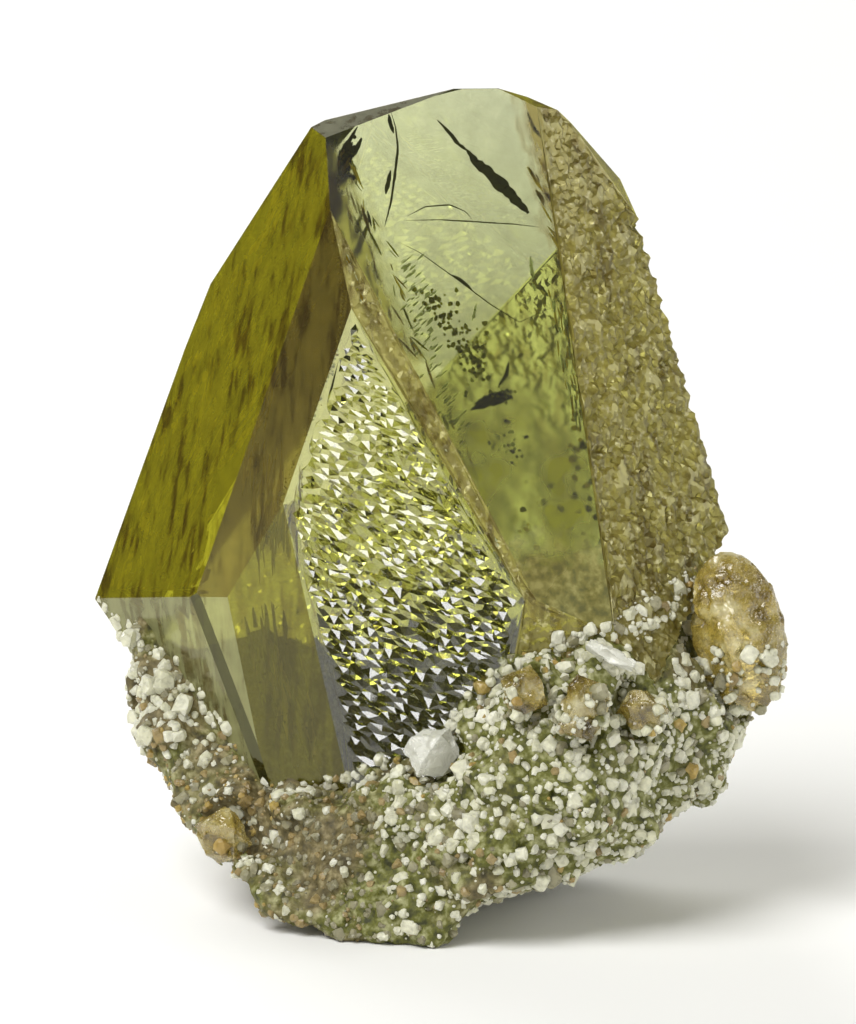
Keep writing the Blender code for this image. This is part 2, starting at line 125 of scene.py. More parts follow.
CRYSTAL_FACES = {
    "window": (RIDGE_TOP, WINDOW_TOP, WINDOW_FOOT_RIGHT, "window"),
    "ridge": (RIDGE_TOP, PIT_TOP, WINDOW_FOOT, "ridge"),
    "pitted": (PIT_TOP, PIT_FOOT, PIT_ROOT, "pitted"),
    "brown_side": (RIDGE_TOP, PIT_TOP, STEP_MIDDLE, "brown"),
    "left": (RIDGE_TOP, WINDOW_LEFT, STEP_MIDDLE, "olive"),
    "honey_foot": (PIT_LEFT, PIT_ROOT, PALE_ROOT, "honey"),
    "pale_foot": (STEP_RIGHT, STEP_MIDDLE, PALE_ROOT, "pale"),
    "pale_foot_left": (STEP_MIDDLE, STEP_LEFT, PALE_ROOT, "pale"),
    "pale_bevel": (PALE_BEVEL_LEFT, PALE_BEVEL_RIGHT, PALE_BEVEL_FOOT, "groove"),
    "buried_front": (BURIED_UPPER, BURIED_LOWER, BURIED_RIGHT, "ridge"),
    "rough": (WINDOW_TOP_RIGHT, WINDOW_FOOT_RIGHT, RIGHT_CORNER, "rough"),
    "top_strip": (WINDOW_LEFT, WINDOW_TOP_LEFT, LEFT_TOP, "strip"),
    "top_right": (WINDOW_TOP, WINDOW_TOP_RIGHT, BEVEL_TOP, "olive"),
    "bevel": (BEVEL_INNER, RIGHT_SHOULDER, BEVEL_OUTER, "olive"),
    "back_upper_left": (LEFT_TOP, LEFT_SHOULDER, BACK_UPPER_INNER, "back"),
    "back_left": (LEFT_SHOULDER, STEP_LEFT, BACK_LEFT_INNER, "back"),
    "rough_back": (RIGHT_SHOULDER, RIGHT_CORNER, BACK_RIGHT_INNER, "rough_back"),
    "root_right": (RIGHT_CORNER, RIGHT_ROOT, BACK_FOOT_RIGHT, "rough"),
    "root_left": (ROOT_LEFT_TOP, ROOT_LEFT, BACK_FOOT_LEFT, "olive"),
    "root_back": (ROOT_BACK_LEFT, ROOT_BACK_RIGHT, ROOT_BACK_LOW, "olive"),
    "crest_left": (WINDOW_TOP_LEFT, CREST_LEFT, CREST_BACK_LEFT, "olive"),
    "crest": (WINDOW_TOP_LEFT, WINDOW_TOP, CREST_BACK, "back"),
    "crest_right": (WINDOW_TOP, BEVEL_TOP, CREST_BACK_RIGHT, "olive"),
    "crest_bevel": (BEVEL_BACK, BEVEL_OUTER, CREST_BACK_RIGHT, "olive"),
    "back_top": (BACK_TOP, BACK_TOP_LEFT, BACK_TOP_LOW, "back"),
    "back_middle": (BACK_MIDDLE_LEFT, BACK_MIDDLE_RIGHT, BACK_MIDDLE_LOW, "back"),
    "back_low": (BACK_LOW_LEFT, BACK_LOW_RIGHT, BACK_LOW_FOOT, "back"),
    "root": (PIT_ROOT, ROOT_BACK, ROOT_LEFT, "olive"),
}
# Each finish: share of light let through, roughness, tint
FINISHES = {
    "window": (1.0, 0.010, (0.90, 1.0, 0.46)),
    "olive": (0.66, 0.04, (0.54, 0.48, 0.014)),
    "honey": (0.75, 0.06, (0.22, 0.19, 0.01)),
    "back": (1.0, 0.02, (1.0, 1.0, 0.92)),
    "pitted": (0.96, 0.03, (0.50, 0.49, 0.10)),
    "pale": (0.50, 0.12, (0.44, 0.44, 0.20)),
    "groove": (0.30, 0.06, (0.03, 0.03, 0.002)),
    "strip": (0.35, 0.20, (0.24, 0.24, 0.17)),
    "ridge": (0.45, 0.26, (0.34, 0.29, 0.07)),
    "brown": (0.60, 0.16, (0.22, 0.16, 0.02)),
    "rough": (0.45, 0.28, (0.27, 0.22, 0.05)),
    "rough_back": (0.90, 0.20, (0.52, 0.55, 0.12)),
}
MURK_COLOUR = (0.25, 0.25, 0.001)
CURTAIN_COLOUR = (0.36, 0.33, 0.015)
CURTAIN_EDGE = (6.2, 7.2)
CURTAIN_SLOPE = 0.374
WEDGE_COLOUR = (0.46, 0.33, 0.03)
WEDGE_EDGE = (9.6, 10.3)
WEDGE_SLOPE = 0.256
CLOUD_BLUR = 0.30
FRAY = 0.8
FIBRE_STRETCH = (2.6, 2.6, 0.5)
# Pale specks of the etched right side: partly the stone's own pale specks, partly painted glints.
SPECK_SIZE = 0.22
SPECK_AND_GLINT_COLOUR = (0.56, 0.52, 0.32)
GLINT_COLOUR = (0.85, 0.82, 0.42)
MURK_HEIGHTS = (17.5, 22.8)
FOOT_SHADES = ((0.36, (0.06, 0.05, 0.006)), (0.50, (0.15, 0.125, 0.02)),
               (0.66, (0.30, 0.26, 0.08)))
FOOT_HEIGHTS = (12.4, 15.4)
HILLOCK_WAY = math.radians(-27.0)
HILLOCK_LENGTH = 0.40
HILLOCK_WIDTH = 0.19
HILLOCK_HEIGHT = 0.13
HILLOCK_HEIGHT_SPREAD = (0.5, 1.25)
HILLOCK_SIZE = 1.30
HILLOCK_SIZE_SPREAD = (0.75, 1.25)
HILLOCK_SHRINK = 0.034
HILLOCK_LOWEST = 6.0
HILLOCK_PATCH = 1.8
HILLOCK_PATCH_SHARE = 0.35
HILLOCK_TIP_ALONG = (0.05, 0.28)
HILLOCK_TIP_ASIDE = 0.12
HILLOCK_TRIES = 9000
HILLOCK_RIM = 0.3
VALLEY_RIM = 0.15
VALLEY_DEPTH = 0.02
RING_PIT = (-0.63, 15.03)
RING_PIT_REACH = 0.48
RING_PIT_BORDER = 0.4
RING_PIT_SIDES = 10
RING_PIT_RINGS = ((1.0, 0.06), (0.62, -0.16))
RING_PIT_TIP = (0.2, 0.3)
RING_PIT_TIP_HEIGHT = 0.05
GRAIN_NET = 0.13
GRAIN_NET_JITTER = 0.32
GRAIN_NET_RIM = 0.6
GRAIN_LUMPS = (0.85, 0.38, 0.18)
GRAIN_LUMP_SHARE = 0.6
GRAIN_HEIGHT = 0.24
GRAIN_TOP = 0.30
SHALLOW_SHARE = 0.40
GLASS_IOR = 1.9
ABSORPTION_COLOUR = (0.742, 0.781, 0.032, 1.0)
ABSORPTION_DENSITY = 60.0


def front_point(x, z, depth):
    """A point of the front view, in metres, before the specimen leans back."""
    return Vector((x, -depth, z)) * MM


def face_plane(name):
    """A point on a face's plane, and the plane's normal pointing out of the crystal."""
    first, second, third = (front_point(*corner) for corner in CRYSTAL_FACES[name][:3])
    normal = (second - first).cross(third - first).normalized()
    if normal.dot(front_point(*CRYSTAL_HEART) - first) > 0:
        normal.negate()
    return first, normal


def cut_face(mesh, point, normal):
    """Cut everything off beyond a plane and close the cut with one flat face."""
    geometry = mesh.verts[:] + mesh.edges[:] + mesh.faces[:]
    result = bmesh.ops.bisect_plane(mesh, geom=geometry, dist=SNAP, plane_co=point,
                                    plane_no=normal, clear_outer=True)
    rim = [part for part in result["geom_cut"] if isinstance(part, bmesh.types.BMEdge)]
    if not rim:
        return []
    return bmesh.ops.edgeloop_fill(mesh, edges=rim)["faces"]


def grain_net(mesh, label, numbers):
    """Fill the faces with these numbers with an even but irregular net of small triangles."""
    shared = [edge for edge in mesh.edges
              if all(face[label] in numbers for face in edge.link_faces)]
    for edge in shared:
        cuts = int(edge.calc_length() / (GRAIN_NET * MM))
        bmesh.ops.subdivide_edges(mesh, edges=[edge], cuts=cuts)
    label = mesh.faces.layers.int["face"]
    throws = np.random.default_rng(12)
    for face in [face for face in mesh.faces if face[label] in numbers]:
        number = face[label]
        across = face.normal.orthogonal().normalized()
        up = face.normal.cross(across)
        rim = list(face.verts)
        start = rim[0].co.copy()
        flat = np.array([[(vert.co - start).dot(across), (vert.co - start).dot(up)]
                         for vert in rim])
        flat /= MM
        low, high = flat.min(0), flat.max(0)
        grid = np.stack(np.meshgrid(np.arange(low[0], high[0], GRAIN_NET),
                                    np.arange(low[1], high[1], GRAIN_NET)), -1).reshape(-1, 2)
        grid += throws.uniform(-GRAIN_NET_JITTER, GRAIN_NET_JITTER, grid.shape) * GRAIN_NET
        run = np.roll(flat, -1, axis=0) - flat
        long = np.linalg.norm(run, axis=1)
        turn = np.sign(np.sum(flat[:, 0] * np.roll(flat[:, 1], -1)
                              - flat[:, 1] * np.roll(flat[:, 0], -1)))
        gap = grid[:, None, :] - flat[None, :, :]
        within = (run[:, 0] * gap[..., 1] - run[:, 1] * gap[..., 0]) / long * turn
        grid = grid[(within > GRAIN_NET * GRAIN_NET_RIM).all(1)]
        spots = [Vector(spot) for spot in np.concatenate([flat, grid]).tolist()]
        edges = [(each, (each + 1) % len(rim)) for each in range(len(rim))]
        net = delaunay_2d_cdt(spots, edges, [list(range(len(rim)))], 1, 1e-6)
        verts = []
        for spot, origins in zip(net[0], net[3]):
            first = min(origins) if origins else len(rim)
            if first < len(rim):
                verts.append(rim[first])
            else:
                verts.append(mesh.verts.new(start + (across * spot.x + up * spot.y) * MM))
        bmesh.ops.delete(mesh, geom=[face], context="FACES_ONLY")
        for tri in net[2]:
            mesh.faces.new([verts[each] for each in tri])[label] = number
    return label


def inside(outline, spot, margin):
    """True if a spot lies in a convex outline, at least the margin from its edges."""
    turn = sum(a.x * b.y - b.x * a.y for a, b in zip(outline, outline[1:] + outline[:1]))
    for a, b in zip(outline, outline[1:] + outline[:1]):
        run = b - a
        away = (run.x * (spot.y - a.y) - run.y * (spot.x - a.x)) / run.length
        if away * math.copysign(1.0, turn) < margin:
            return False
    return True


def hillock_net(mesh, label, number):
    """Etch the pitted face: long low hillocks side by side, each with its tip off centre."""
    dice = random.Random(11)
    (face,) = [face for face in mesh.faces if face[label] == number]
    rim = [vert for vert in face.verts]
    point, normal = face_plane("pitted")
    turn = Matrix.Rotation(-HILLOCK_WAY, 2)
    squeeze = Vector((HILLOCK_LENGTH, HILLOCK_WIDTH))

    def flat(co):
        """Where a point lies in the net, whose hillocks are round."""
        way = turn @ Vector((co.x, co.z))
        return Vector((way.x / squeeze.x, way.y / squeeze.y)) / MM

    def lifted(spot, height):
        """The point at a spot of the net, this high over the face."""
        way = turn.inverted() @ Vector((spot.x * squeeze.x, spot.y * squeeze.y))
        x, z = way * MM
        y = (normal.dot(point) - normal.x * x - normal.z * z) / normal.y
        return Vector((x, y, z)) + normal * height * MM

    outline = [flat(vert.co) for vert in rim]
    low = Vector((min(spot.x for spot in outline), min(spot.y for spot in outline)))
    high = Vector((max(spot.x for spot in outline), max(spot.y for spot in outline)))
    ring = flat(front_point(*RING_PIT, 0.0))
    ring_round = Vector((RING_PIT_REACH / squeeze.x, RING_PIT_REACH / squeeze.y))
    seeds = []
    sizes = []
    for _ in range(HILLOCK_TRIES):
        spot = Vector((dice.uniform(low.x, high.x), dice.uniform(low.y, high.y)))
        if not inside(outline, spot, HILLOCK_RIM):
            continue
        at = lifted(spot, 0.0) / MM
        size = HILLOCK_SIZE - HILLOCK_SHRINK * (at.z - HILLOCK_LOWEST)
        size += HILLOCK_PATCH_SHARE * noise.noise(at / HILLOCK_PATCH)
        size *= dice.uniform(*HILLOCK_SIZE_SPREAD)
        gap = spot - ring
        wide, tall = ring_round.x + RING_PIT_BORDER, ring_round.y + RING_PIT_BORDER
        if (gap.x / wide) ** 2 + (gap.y / tall) ** 2 < 1:
            continue
        if seeds:
            apart = np.hypot(*(np.array(seeds) - np.array(spot)).T)
            if (apart < size).any():
                continue
        seeds.append(tuple(spot))
        sizes.append(size)
    nets = delaunay_2d_cdt([Vector(seed) for seed in seeds], [], [], 0, 1e-5)
    centres = [sum((nets[0][each] for each in tri), Vector((0, 0))) / 3 for tri in nets[2]]
    round_seed = {}
    for tri_number, tri in enumerate(nets[2]):
        for each in tri:
            for seed in nets[3][each]:
                round_seed.setdefault(seed, []).append(tri_number)
    spots = list(outline)
    heights = [0.0] * len(rim)
    edges = [(each, (each + 1) % len(rim)) for each in range(len(rim))]
    valley_at = {}

    def valley(tri_number):
        """The low point between three hillocks."""
        if tri_number not in valley_at:
            valley_at[tri_number] = len(spots)
            spots.append(centres[tri_number])
            heights.append(dice.uniform(-VALLEY_DEPTH, VALLEY_DEPTH))
        return valley_at[tri_number]

    for seed, tris in round_seed.items():
        here = Vector(seeds[seed])
        around = sorted(tris, key=lambda each: math.atan2(*(centres[each] - here).yx))
        angles = [math.atan2(*(centres[each] - here).yx) for each in around]
        gaps = [(b - a) % math.tau for a, b in zip(angles, angles[1:] + angles[:1])]
        whole = len(around) >= 4 and max(gaps) < math.pi * 0.9
        if not whole or not all(inside(outline, centres[each], VALLEY_RIM) for each in around):
            continue
        cell = [valley(each) for each in around]
        tip = len(spots)
        spots.append(here + Vector((dice.uniform(*HILLOCK_TIP_ALONG),
                                    dice.uniform(-HILLOCK_TIP_ASIDE, HILLOCK_TIP_ASIDE))))
        heights.append(HILLOCK_HEIGHT * sizes[seed] * dice.uniform(*HILLOCK_HEIGHT_SPREAD))
        edges += zip(cell, cell[1:] + cell[:1])
        edges += [(tip, each) for each in cell]
    for reach, height in RING_PIT_RINGS:
        start = len(spots)
        for step in range(RING_PIT_SIDES):
            angle = step / RING_PIT_SIDES * math.tau
            wave = Vector((math.cos(angle) * ring_round.x, math.sin(angle) * ring_round.y))
            spots.append(ring + wave * reach * dice.uniform(0.9, 1.08))
            heights.append(height + dice.uniform(-VALLEY_DEPTH, VALLEY_DEPTH))
        edges += [(start + step, start + (step + 1) % RING_PIT_SIDES)
                  for step in range(RING_PIT_SIDES)]
    spots.append(ring + Vector(RING_PIT_TIP))
    heights.append(RING_PIT_TIP_HEIGHT)
    net = delaunay_2d_cdt(spots, edges, [list(range(len(rim)))], 1, 1e-5)
    verts = []
    for spot, origins in zip(net[0], net[3]):
        first = min(origins) if origins else None
        if first is not None and first < len(rim):
            verts.append(rim[first])
        else:
            height = heights[first] if first is not None else 0.0
            verts.append(mesh.verts.new(lifted(spot, height)))
    bmesh.ops.delete(mesh, geom=[face], context="FACES_ONLY")
    for tri in net[2]:
        mesh.faces.new([verts[each] for each in tri])[label] = number


def roughen(mesh, label, numbers, deepest):
    """Give the etched right side and the faces behind it a granular skin."""
    moves = {}
    for vert in mesh.verts:
        if not all(near[label] in numbers for near in vert.link_faces):
            continue
        away = sum((near.normal for near in vert.link_faces), Vector()).normalized()
        at = vert.co / MM
        grain = sum(GRAIN_LUMP_SHARE * noise.noise(at / lump) for lump in GRAIN_LUMPS)
        etched = any(near[label] == deepest for near in vert.link_faces)
        share = 1.0 if etched else SHALLOW_SHARE
        moves[vert] = away * min(grain, GRAIN_TOP) * GRAIN_HEIGHT * share * MM
    for vert, move in moves.items():
        vert.co += move


mesh = bmesh.new()
label = mesh.faces.layers.int.new("face")
bmesh.ops.create_cube(mesh, size=BLOCK_SIZE * MM)
for number, name in enumerate(CRYSTAL_FACES):
    for face in cut_face(mesh, *face_plane(name)):
        face[label] = number
face_names = list(CRYSTAL_FACES)
rough_numbers = {number for number, name in enumerate(face_names)
                 if name in ("rough", "rough_back", "root_right", "ridge", "buried_front")}
mesh.normal_update()
label = grain_net(mesh, label, rough_numbers)
bmesh.ops.recalc_face_normals(mesh, faces=mesh.faces)
roughen(mesh, label, rough_numbers, face_names.index("rough"))
hillock_net(mesh, label, face_names.index("pitted"))
bmesh.ops.transform(mesh, matrix=STANCE, verts=mesh.verts)
bmesh.ops.triangulate(mesh, faces=mesh.faces, quad_method="BEAUTY", ngon_method="BEAUTY")
bmesh.ops.recalc_face_normals(mesh, faces=mesh.faces)
data = bpy.data.meshes.new("titanite_crystal_fine")
numbers = [face[label] for face in mesh.faces]
mesh.to_mesh(data)
crystal_tree = BVHTree.FromBMesh(mesh)
mesh.free()
finishes = [FINISHES[CRYSTAL_FACES[face_names[number]][3]] for number in numbers]
for name, part in (("clearness", 0), ("frost", 1)):
    layer = data.attributes.new(name, "FLOAT", "FACE")
    layer.data.foreach_set("value", [finish[part] for finish in finishes])
layer = data.attributes.new("tint", "FLOAT_COLOR", "CORNER")
layer.data.foreach_set("color", [part for finish in finishes for _ in range(3)
                                 for part in (*finish[2], 1.0)])
crystal = bpy.data.objects.new("titanite_crystal_fine", data)
bpy.context.collection.objects.link(crystal)


def new_material(name):
    """A material's node tree and its main shader."""
    material = bpy.data.materials.new(name)
    material.use_nodes = True
    return material, material.node_tree, material.node_tree.nodes["Principled BSDF"]


def add_node(tree, kind, inputs=None, **settings):
    """Add a node; a socket given as an input is linked, and anything else is its value."""
    node = tree.nodes.new("ShaderNode" + kind)
    for name, value in settings.items():
        setattr(node, name, value)
    for name, value in (inputs or {}).items():
        if isinstance(value, bpy.types.NodeSocket):
            tree.links.new(value, node.inputs[name])
        else:
            node.inputs[name].default_value = value
    return node


def grain_at(tree, where, size, detail=3.0):
    """Noise with lumps of a size in millimetres."""
    inputs = {"Vector": where, "Scale": 1.0 / (size * MM), "Detail": detail}
    return add_node(tree, "TexNoise", inputs).outputs["Fac"]


def ramp(tree, factor, stops):
    """A colour ramp over a factor, from stops of place and colour."""
    node = add_node(tree, "ValToRGB", {"Fac": factor})
    for place, colour in stops[2:]:
        node.color_ramp.elements.new(place)
    for element, (place, colour) in zip(node.color_ramp.elements, stops):
        element.position = place
        element.color = (*colour, 1.0)
    return node.outputs["Color"]


def grey(value):
    """A grey."""
    return (value, value, value)


def reckon(tree, operation, first, second):
    """One number worked out from two."""
    return add_node(tree, "Math", {0: first, 1: second}, operation=operation).outputs["Value"]


def times(tree, first, second):
    """Two numbers multiplied."""
    return reckon(tree, "MULTIPLY", first, second)


def fade(tree, value, edge, start=1.0, end=0.0):
    """A number that goes from start to end while a value crosses an edge from low to high."""
    inputs = {"Value": value, "From Min": edge[0], "From Max": edge[1],
              "To Min": start, "To Max": end}
    return add_node(tree, "MapRange", inputs).outputs["Result"]


def part_of(tree, where, axis):
    """How far along an axis a place lies."""
    return add_node(tree, "SeparateXYZ", {"Vector": where}).outputs[axis]


def blend(tree, factor, first, second, kind="MIX"):
    """One colour blended over another."""
    node = add_node(tree, "Mix", {"Factor": factor}, data_type="RGBA", blend_type=kind)
    for slot, value in ((6, first), (7, second)):
        if isinstance(value, bpy.types.NodeSocket):
            tree.links.new(value, node.inputs[slot])
        else:
            node.inputs[slot].default_value = (*value, 1.0)
    return node.outputs[2]


def bump(tree, height, depth, strength=1.0):
    """A bump whose full height is a depth in millimetres."""
    node = add_node(tree, "Bump", {"Height": height, "Distance": depth * MM, "Strength": strength})
    return node.outputs["Normal"]


material, tree, shader = new_material("titanite_glass")
where = add_node(tree, "TexCoord").outputs["Object"]
clearness = add_node(tree, "Attribute", attribute_name="clearness").outputs["Fac"]
frost = add_node(tree, "Attribute", attribute_name="frost").outputs["Fac"]
tint = add_node(tree, "Attribute", attribute_name="tint").outputs["Color"]
patch = grain_at(tree, where, 0.7)
mottled = blend(tree, 1.0, tint, ramp(tree, patch, ((0.35, grey(0.84)), (0.65, grey(1.0)))),
                "MULTIPLY")
upward = times(tree, part_of(tree, where, "Z"), 1.0 / MM)
low = fade(tree, upward, MURK_HEIGHTS)
lobes = ramp(tree, grain_at(tree, where, 2.4, 2.0), ((0.38, grey(0.55)), (0.60, grey(1.0))))
polished = ramp(tree, frost, ((0.012, grey(1.0)), (0.017, grey(0.0))))
murk = times(tree, times(tree, low, lobes), polished)
# Pale specks on the etched right side, partly the stone's own and partly painted glints; where they
# lie, less light passes through.
etched = ramp(tree, frost, ((0.24, grey(0.0)), (0.27, grey(1.0))))
specks_and_glints = ramp(tree, grain_at(tree, where, SPECK_SIZE, 5.0), ((0.58, grey(0.0)), (0.68, grey(0.8))))
blotch = ramp(tree, grain_at(tree, where, 1.6, 4.0), ((0.40, grey(0.35)), (0.60, grey(1.0))))
specks_and_glints = times(tree, times(tree, etched, specks_and_glints), blotch)
murky = blend(tree, murk, mottled, MURK_COLOUR)
fibres = add_node(tree, "VectorMath", {0: where, 1: FIBRE_STRETCH}, operation="MULTIPLY").outputs[0]
threads = grain_at(tree, fibres, 0.8, 5.0)
clouded = [times(tree, murk, CLOUD_BLUR)]
for colour, slope, edge, ends in ((CURTAIN_COLOUR, CURTAIN_SLOPE, CURTAIN_EDGE, (1.0, 0.0)),
                                  (WEDGE_COLOUR, WEDGE_SLOPE, WEDGE_EDGE, (0.0, 1.0))):
    across = add_node(tree, "VectorMath", {0: where, 1: (1.0 / MM, 0.0, slope / MM)},
                      operation="DOT_PRODUCT").outputs["Value"]
    frayed = reckon(tree, "ADD", times(tree, threads, 2 * FRAY), across)
    share = fade(tree, frayed, (edge[0] + FRAY, edge[1] + FRAY), *ends)
    share = times(tree, share, polished)
    murky = blend(tree, share, murky, colour)
    clouded.append(times(tree, share, CLOUD_BLUR))
lowest = fade(tree, upward, FOOT_HEIGHTS, 0.5)
ragged = reckon(tree, "ADD", lowest, times(tree, grain_at(tree, where, 0.5, 4.0), 0.4))
foot = times(tree, ramp(tree, ragged, ((0.38, grey(0.0)), (0.60, grey(0.85)))), polished)
murky = blend(tree, foot, murky, ramp(tree, grain_at(tree, where, 0.34, 5.0), FOOT_SHADES))
clouded.append(times(tree, foot, CLOUD_BLUR))
bands = reckon(tree, "ADD", times(tree, threads, 0.55),
               times(tree, grain_at(tree, fibres, 3.4), 0.45))
streaks = ramp(tree, bands, ((0.40, (0.36, 0.29, 0.22)), (0.49, grey(0.85)), (0.60, grey(1.0))))
stained_faces = ramp(tree, frost, ((0.025, grey(0.0)), (0.038, grey(1.0))))
murky = blend(tree, stained_faces, murky, streaks, "MULTIPLY")
tree.links.new(blend(tree, specks_and_glints, murky, SPECK_AND_GLINT_COLOUR), shader.inputs["Base Color"])
clean = reckon(tree, "SUBTRACT", 1.0, reckon(tree, "MAXIMUM", specks_and_glints, foot))
tree.links.new(times(tree, clearness, clean), shader.inputs["Transmission Weight"])
blur = frost
for part in clouded:
    blur = reckon(tree, "MAXIMUM", blur, part)
tree.links.new(blur, shader.inputs["Roughness"])
shader.inputs["IOR"].default_value = GLASS_IOR
tree.links.new(ramp(tree, frost, ((0.033, grey(1.0)), (0.038, GLINT_COLOUR))),
               shader.inputs["Specular Tint"])
absorption = add_node(tree, "VolumeAbsorption", {"Color": ABSORPTION_COLOUR,
                                                 "Density": ABSORPTION_DENSITY})
tree.links.new(absorption.outputs["Volume"], tree.nodes["Material Output"].inputs["Volume"])
data.materials.append(material)
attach(crystal, "root")
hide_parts("titanite_crystal")

# What shows inside the crystal: a dark healed crack and finer ones, curtains of olive and golden
# growth fibres beside the window, green clouds below it and glints under the left face. The gold
# and pale flakes and ribbons are partly their own colour and partly painted glints and highlights.
PX_PER_MM = 28.6
PX_AXIS = 443.0
PX_FOOT = 927.0
FIBRE_THICK = 0.025
BURIED_BY = 0.03
FLAKE_SIDES = 6
FLAKE_TILT = 0.35
FLAKE_THICKNESS = 0.2
# Flakes near air's index hardly reflect; the glints of the gold and pale ones are painted into
# their colour.
FLAKE_IOR = 1.02
DARK, OLIVE, BROWN, GOLD_AND_GLINT, PALE_AND_HIGHLIGHT = 0.08, 0.28, 0.48, 0.68, 0.90


def below_face(name, px, py, under):
    """The point that shows at a pixel of the front view and lies this far below a face."""
    point, normal = face_plane(name)
    x = (px - PX_AXIS) / PX_PER_MM * MM
    z = (PX_FOOT - py) / PX_PER_MM * MM
    y = (normal.dot(point) - normal.x * x - normal.z * z) / normal.y
    cos_in = -normal.y
    cos_out = math.sqrt(1 - (1 - cos_in ** 2) / GLASS_IOR ** 2)
    bent = Vector((0, 1, 0)) / GLASS_IOR + (cos_in / GLASS_IOR - cos_out) * normal
    return Vector((x, y, z)) + bent * (under * MM / cos_out)


class Inclusions:
    """Thin ribbons and flakes gathered into one mesh, with a shade for each point."""

    def __init__(self, seed):
        self.dice = random.Random(seed)
        self.points = []
        self.faces = []
        self.shades = []

    def buried(self, points):
        """True if the points all lie inside the crystal."""
        return all((spot - point).dot(away) < -BURIED_BY * MM
                   for point, away in crystal_planes for spot in points)

    def ribbon(self, face, line, half_width, under, shade, step=5.0, ragged=0.25):
        """A ribbon along a line of pixels, widest in its middle, with a lens-shaped section."""
        normal = face_plane(face)[1]
        lengths = [math.dist(a, b) for a, b in zip(line, line[1:])]
        total = sum(lengths)
        count = max(3, int(total / step))
        centres = []
        for number in range(count + 1):
            left = total * number / count
            for a, b, length in zip(line, line[1:], lengths):
                if left <= length:
                    break
                left -= length
            share = min(left / length, 1.0)
            centres.append(between(a, b, share))
        if not self.buried([below_face(face, *end, under) for end in (centres[0], centres[-1])]):
            return
        start = len(self.points)
        for number, (px, py) in enumerate(centres):
            after = centres[min(number + 1, count)]
            before = centres[max(number - 1, 0)]
            run = math.dist(before, after)
            side = ((after[1] - before[1]) / run, (before[0] - after[0]) / run)
            bulge = math.sin(math.pi * (number + 0.15) / (count + 0.3)) ** 0.7
            wide = [half_width * bulge * (1 + self.dice.uniform(-ragged, ragged))
                    for _ in range(2)]
            middle = below_face(face, px, py, under)
            lift = normal * FIBRE_THICK * MM * max(bulge, 0.2)
            self.points += [
                below_face(face, px + side[0] * wide[0], py + side[1] * wide[0], under),
                middle + lift,
                below_face(face, px - side[0] * wide[1], py - side[1] * wide[1], under),
                middle - lift,
            ]
            self.shades += [shade] * 4
        for number in range(count):
            row = start + 4 * number
            for corner in range(4):
                after = (corner + 1) % 4
                self.faces.append((row + corner, row + after, row + 4 + after, row + 4 + corner))
        self.faces.append((start, start + 3, start + 2, start + 1))
        end = start + 4 * count
        self.faces.append((end, end + 1, end + 2, end + 3))

    def flake(self, face, px, py, size, under, shade):
        """A thin six-sided flake below a face."""
        normal = face_plane(face)[1]
        start = len(self.points)
        middle = below_face(face, px, py, under)
        if not self.buried([middle]):
            return
        tilt = Vector([self.dice.uniform(-FLAKE_TILT, FLAKE_TILT) for _ in range(3)])
        axis = (normal + tilt).normalized()
        across = axis.cross(Vector((0.3, 0.2, 1.0))).normalized()
        up = axis.cross(across)
        for corner in range(FLAKE_SIDES):
            angle = corner / FLAKE_SIDES * math.tau
            reach = size * MM * self.dice.uniform(0.6, 1.1)
            self.points.append(middle + across * (math.cos(angle) * reach)
                               + up * (math.sin(angle) * reach))
        lift = axis * size * FLAKE_THICKNESS * MM
        self.points += [middle + lift, middle - lift]
        self.shades += [shade] * (FLAKE_SIDES + 2)
        for corner in range(FLAKE_SIDES):
            after = (corner + 1) % FLAKE_SIDES
            self.faces.append((start + corner, start + after, start + FLAKE_SIDES))
            self.faces.append((start + after, start + corner, start + FLAKE_SIDES + 1))

    def piece(self, name, material):
        """Make one piece of all the ribbons and flakes."""
        data = bpy.data.meshes.new(name)
        data.from_pydata([STANCE @ point for point in self.points], [], self.faces)
        layer = data.attributes.new("shade", "FLOAT", "POINT")
        layer.data.foreach_set("value", self.shades)
        data.materials.append(material)
        inner = bpy.data.objects.new(name, data)
        bpy.context.collection.objects.link(inner)
        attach(inner, "root")


def between(a, b, share):
    """The pixel at a share of the way from one pixel to another."""
    return a[0] + (b[0] - a[0]) * share, a[1] + (b[1] - a[1]) * share


def along(guide, share):
    """The pixel at a share of the way along a line of pixels."""
    place = share * (len(guide) - 1)
    number = min(int(place), len(guide) - 2)
    return between(guide[number], guide[number + 1], place - number)


material, tree, shader = new_material("inclusions_and_glints")
where = add_node(tree, "TexCoord").outputs["Object"]
shade = add_node(tree, "Attribute", attribute_name="shade").outputs["Fac"]
# Shades run from dark cracks through olive and brown to gold and pale; the gold and pale stops are
# partly own colour, partly painted glints.
kinds = ramp(tree, shade, ((0.0, (0.030, 0.034, 0.004)), (0.18, (0.06, 0.06, 0.006)),
                           (0.24, (0.22, 0.22, 0.004)), (0.38, (0.36, 0.35, 0.010)),
                           (0.44, (0.26, 0.18, 0.02)), (0.58, (0.36, 0.26, 0.04)),
                           (0.63, (0.70, 0.58, 0.06)), (0.78, (0.85, 0.74, 0.15)),
                           (0.84, (0.62, 0.68, 0.34)), (1.0, (0.80, 0.84, 0.58))))
cloud = grain_at(tree, where, 0.25, 4.0)
tree.links.new(blend(tree, 1.0, kinds, ramp(tree, cloud, ((0.35, grey(0.7)), (0.65, grey(1.0)))),
                     "MULTIPLY"), shader.inputs["Base Color"])
tree.links.new(ramp(tree, cloud, ((0.35, grey(0.25)), (0.65, grey(0.5)))),
               shader.inputs["Roughness"])
tree.links.new(ramp(tree, shade, ((0.20, grey(0.1)), (0.30, grey(0.60)), (0.95, grey(0.50)))),
               shader.inputs["Transmission Weight"])
shader.inputs["IOR"].default_value = FLAKE_IOR

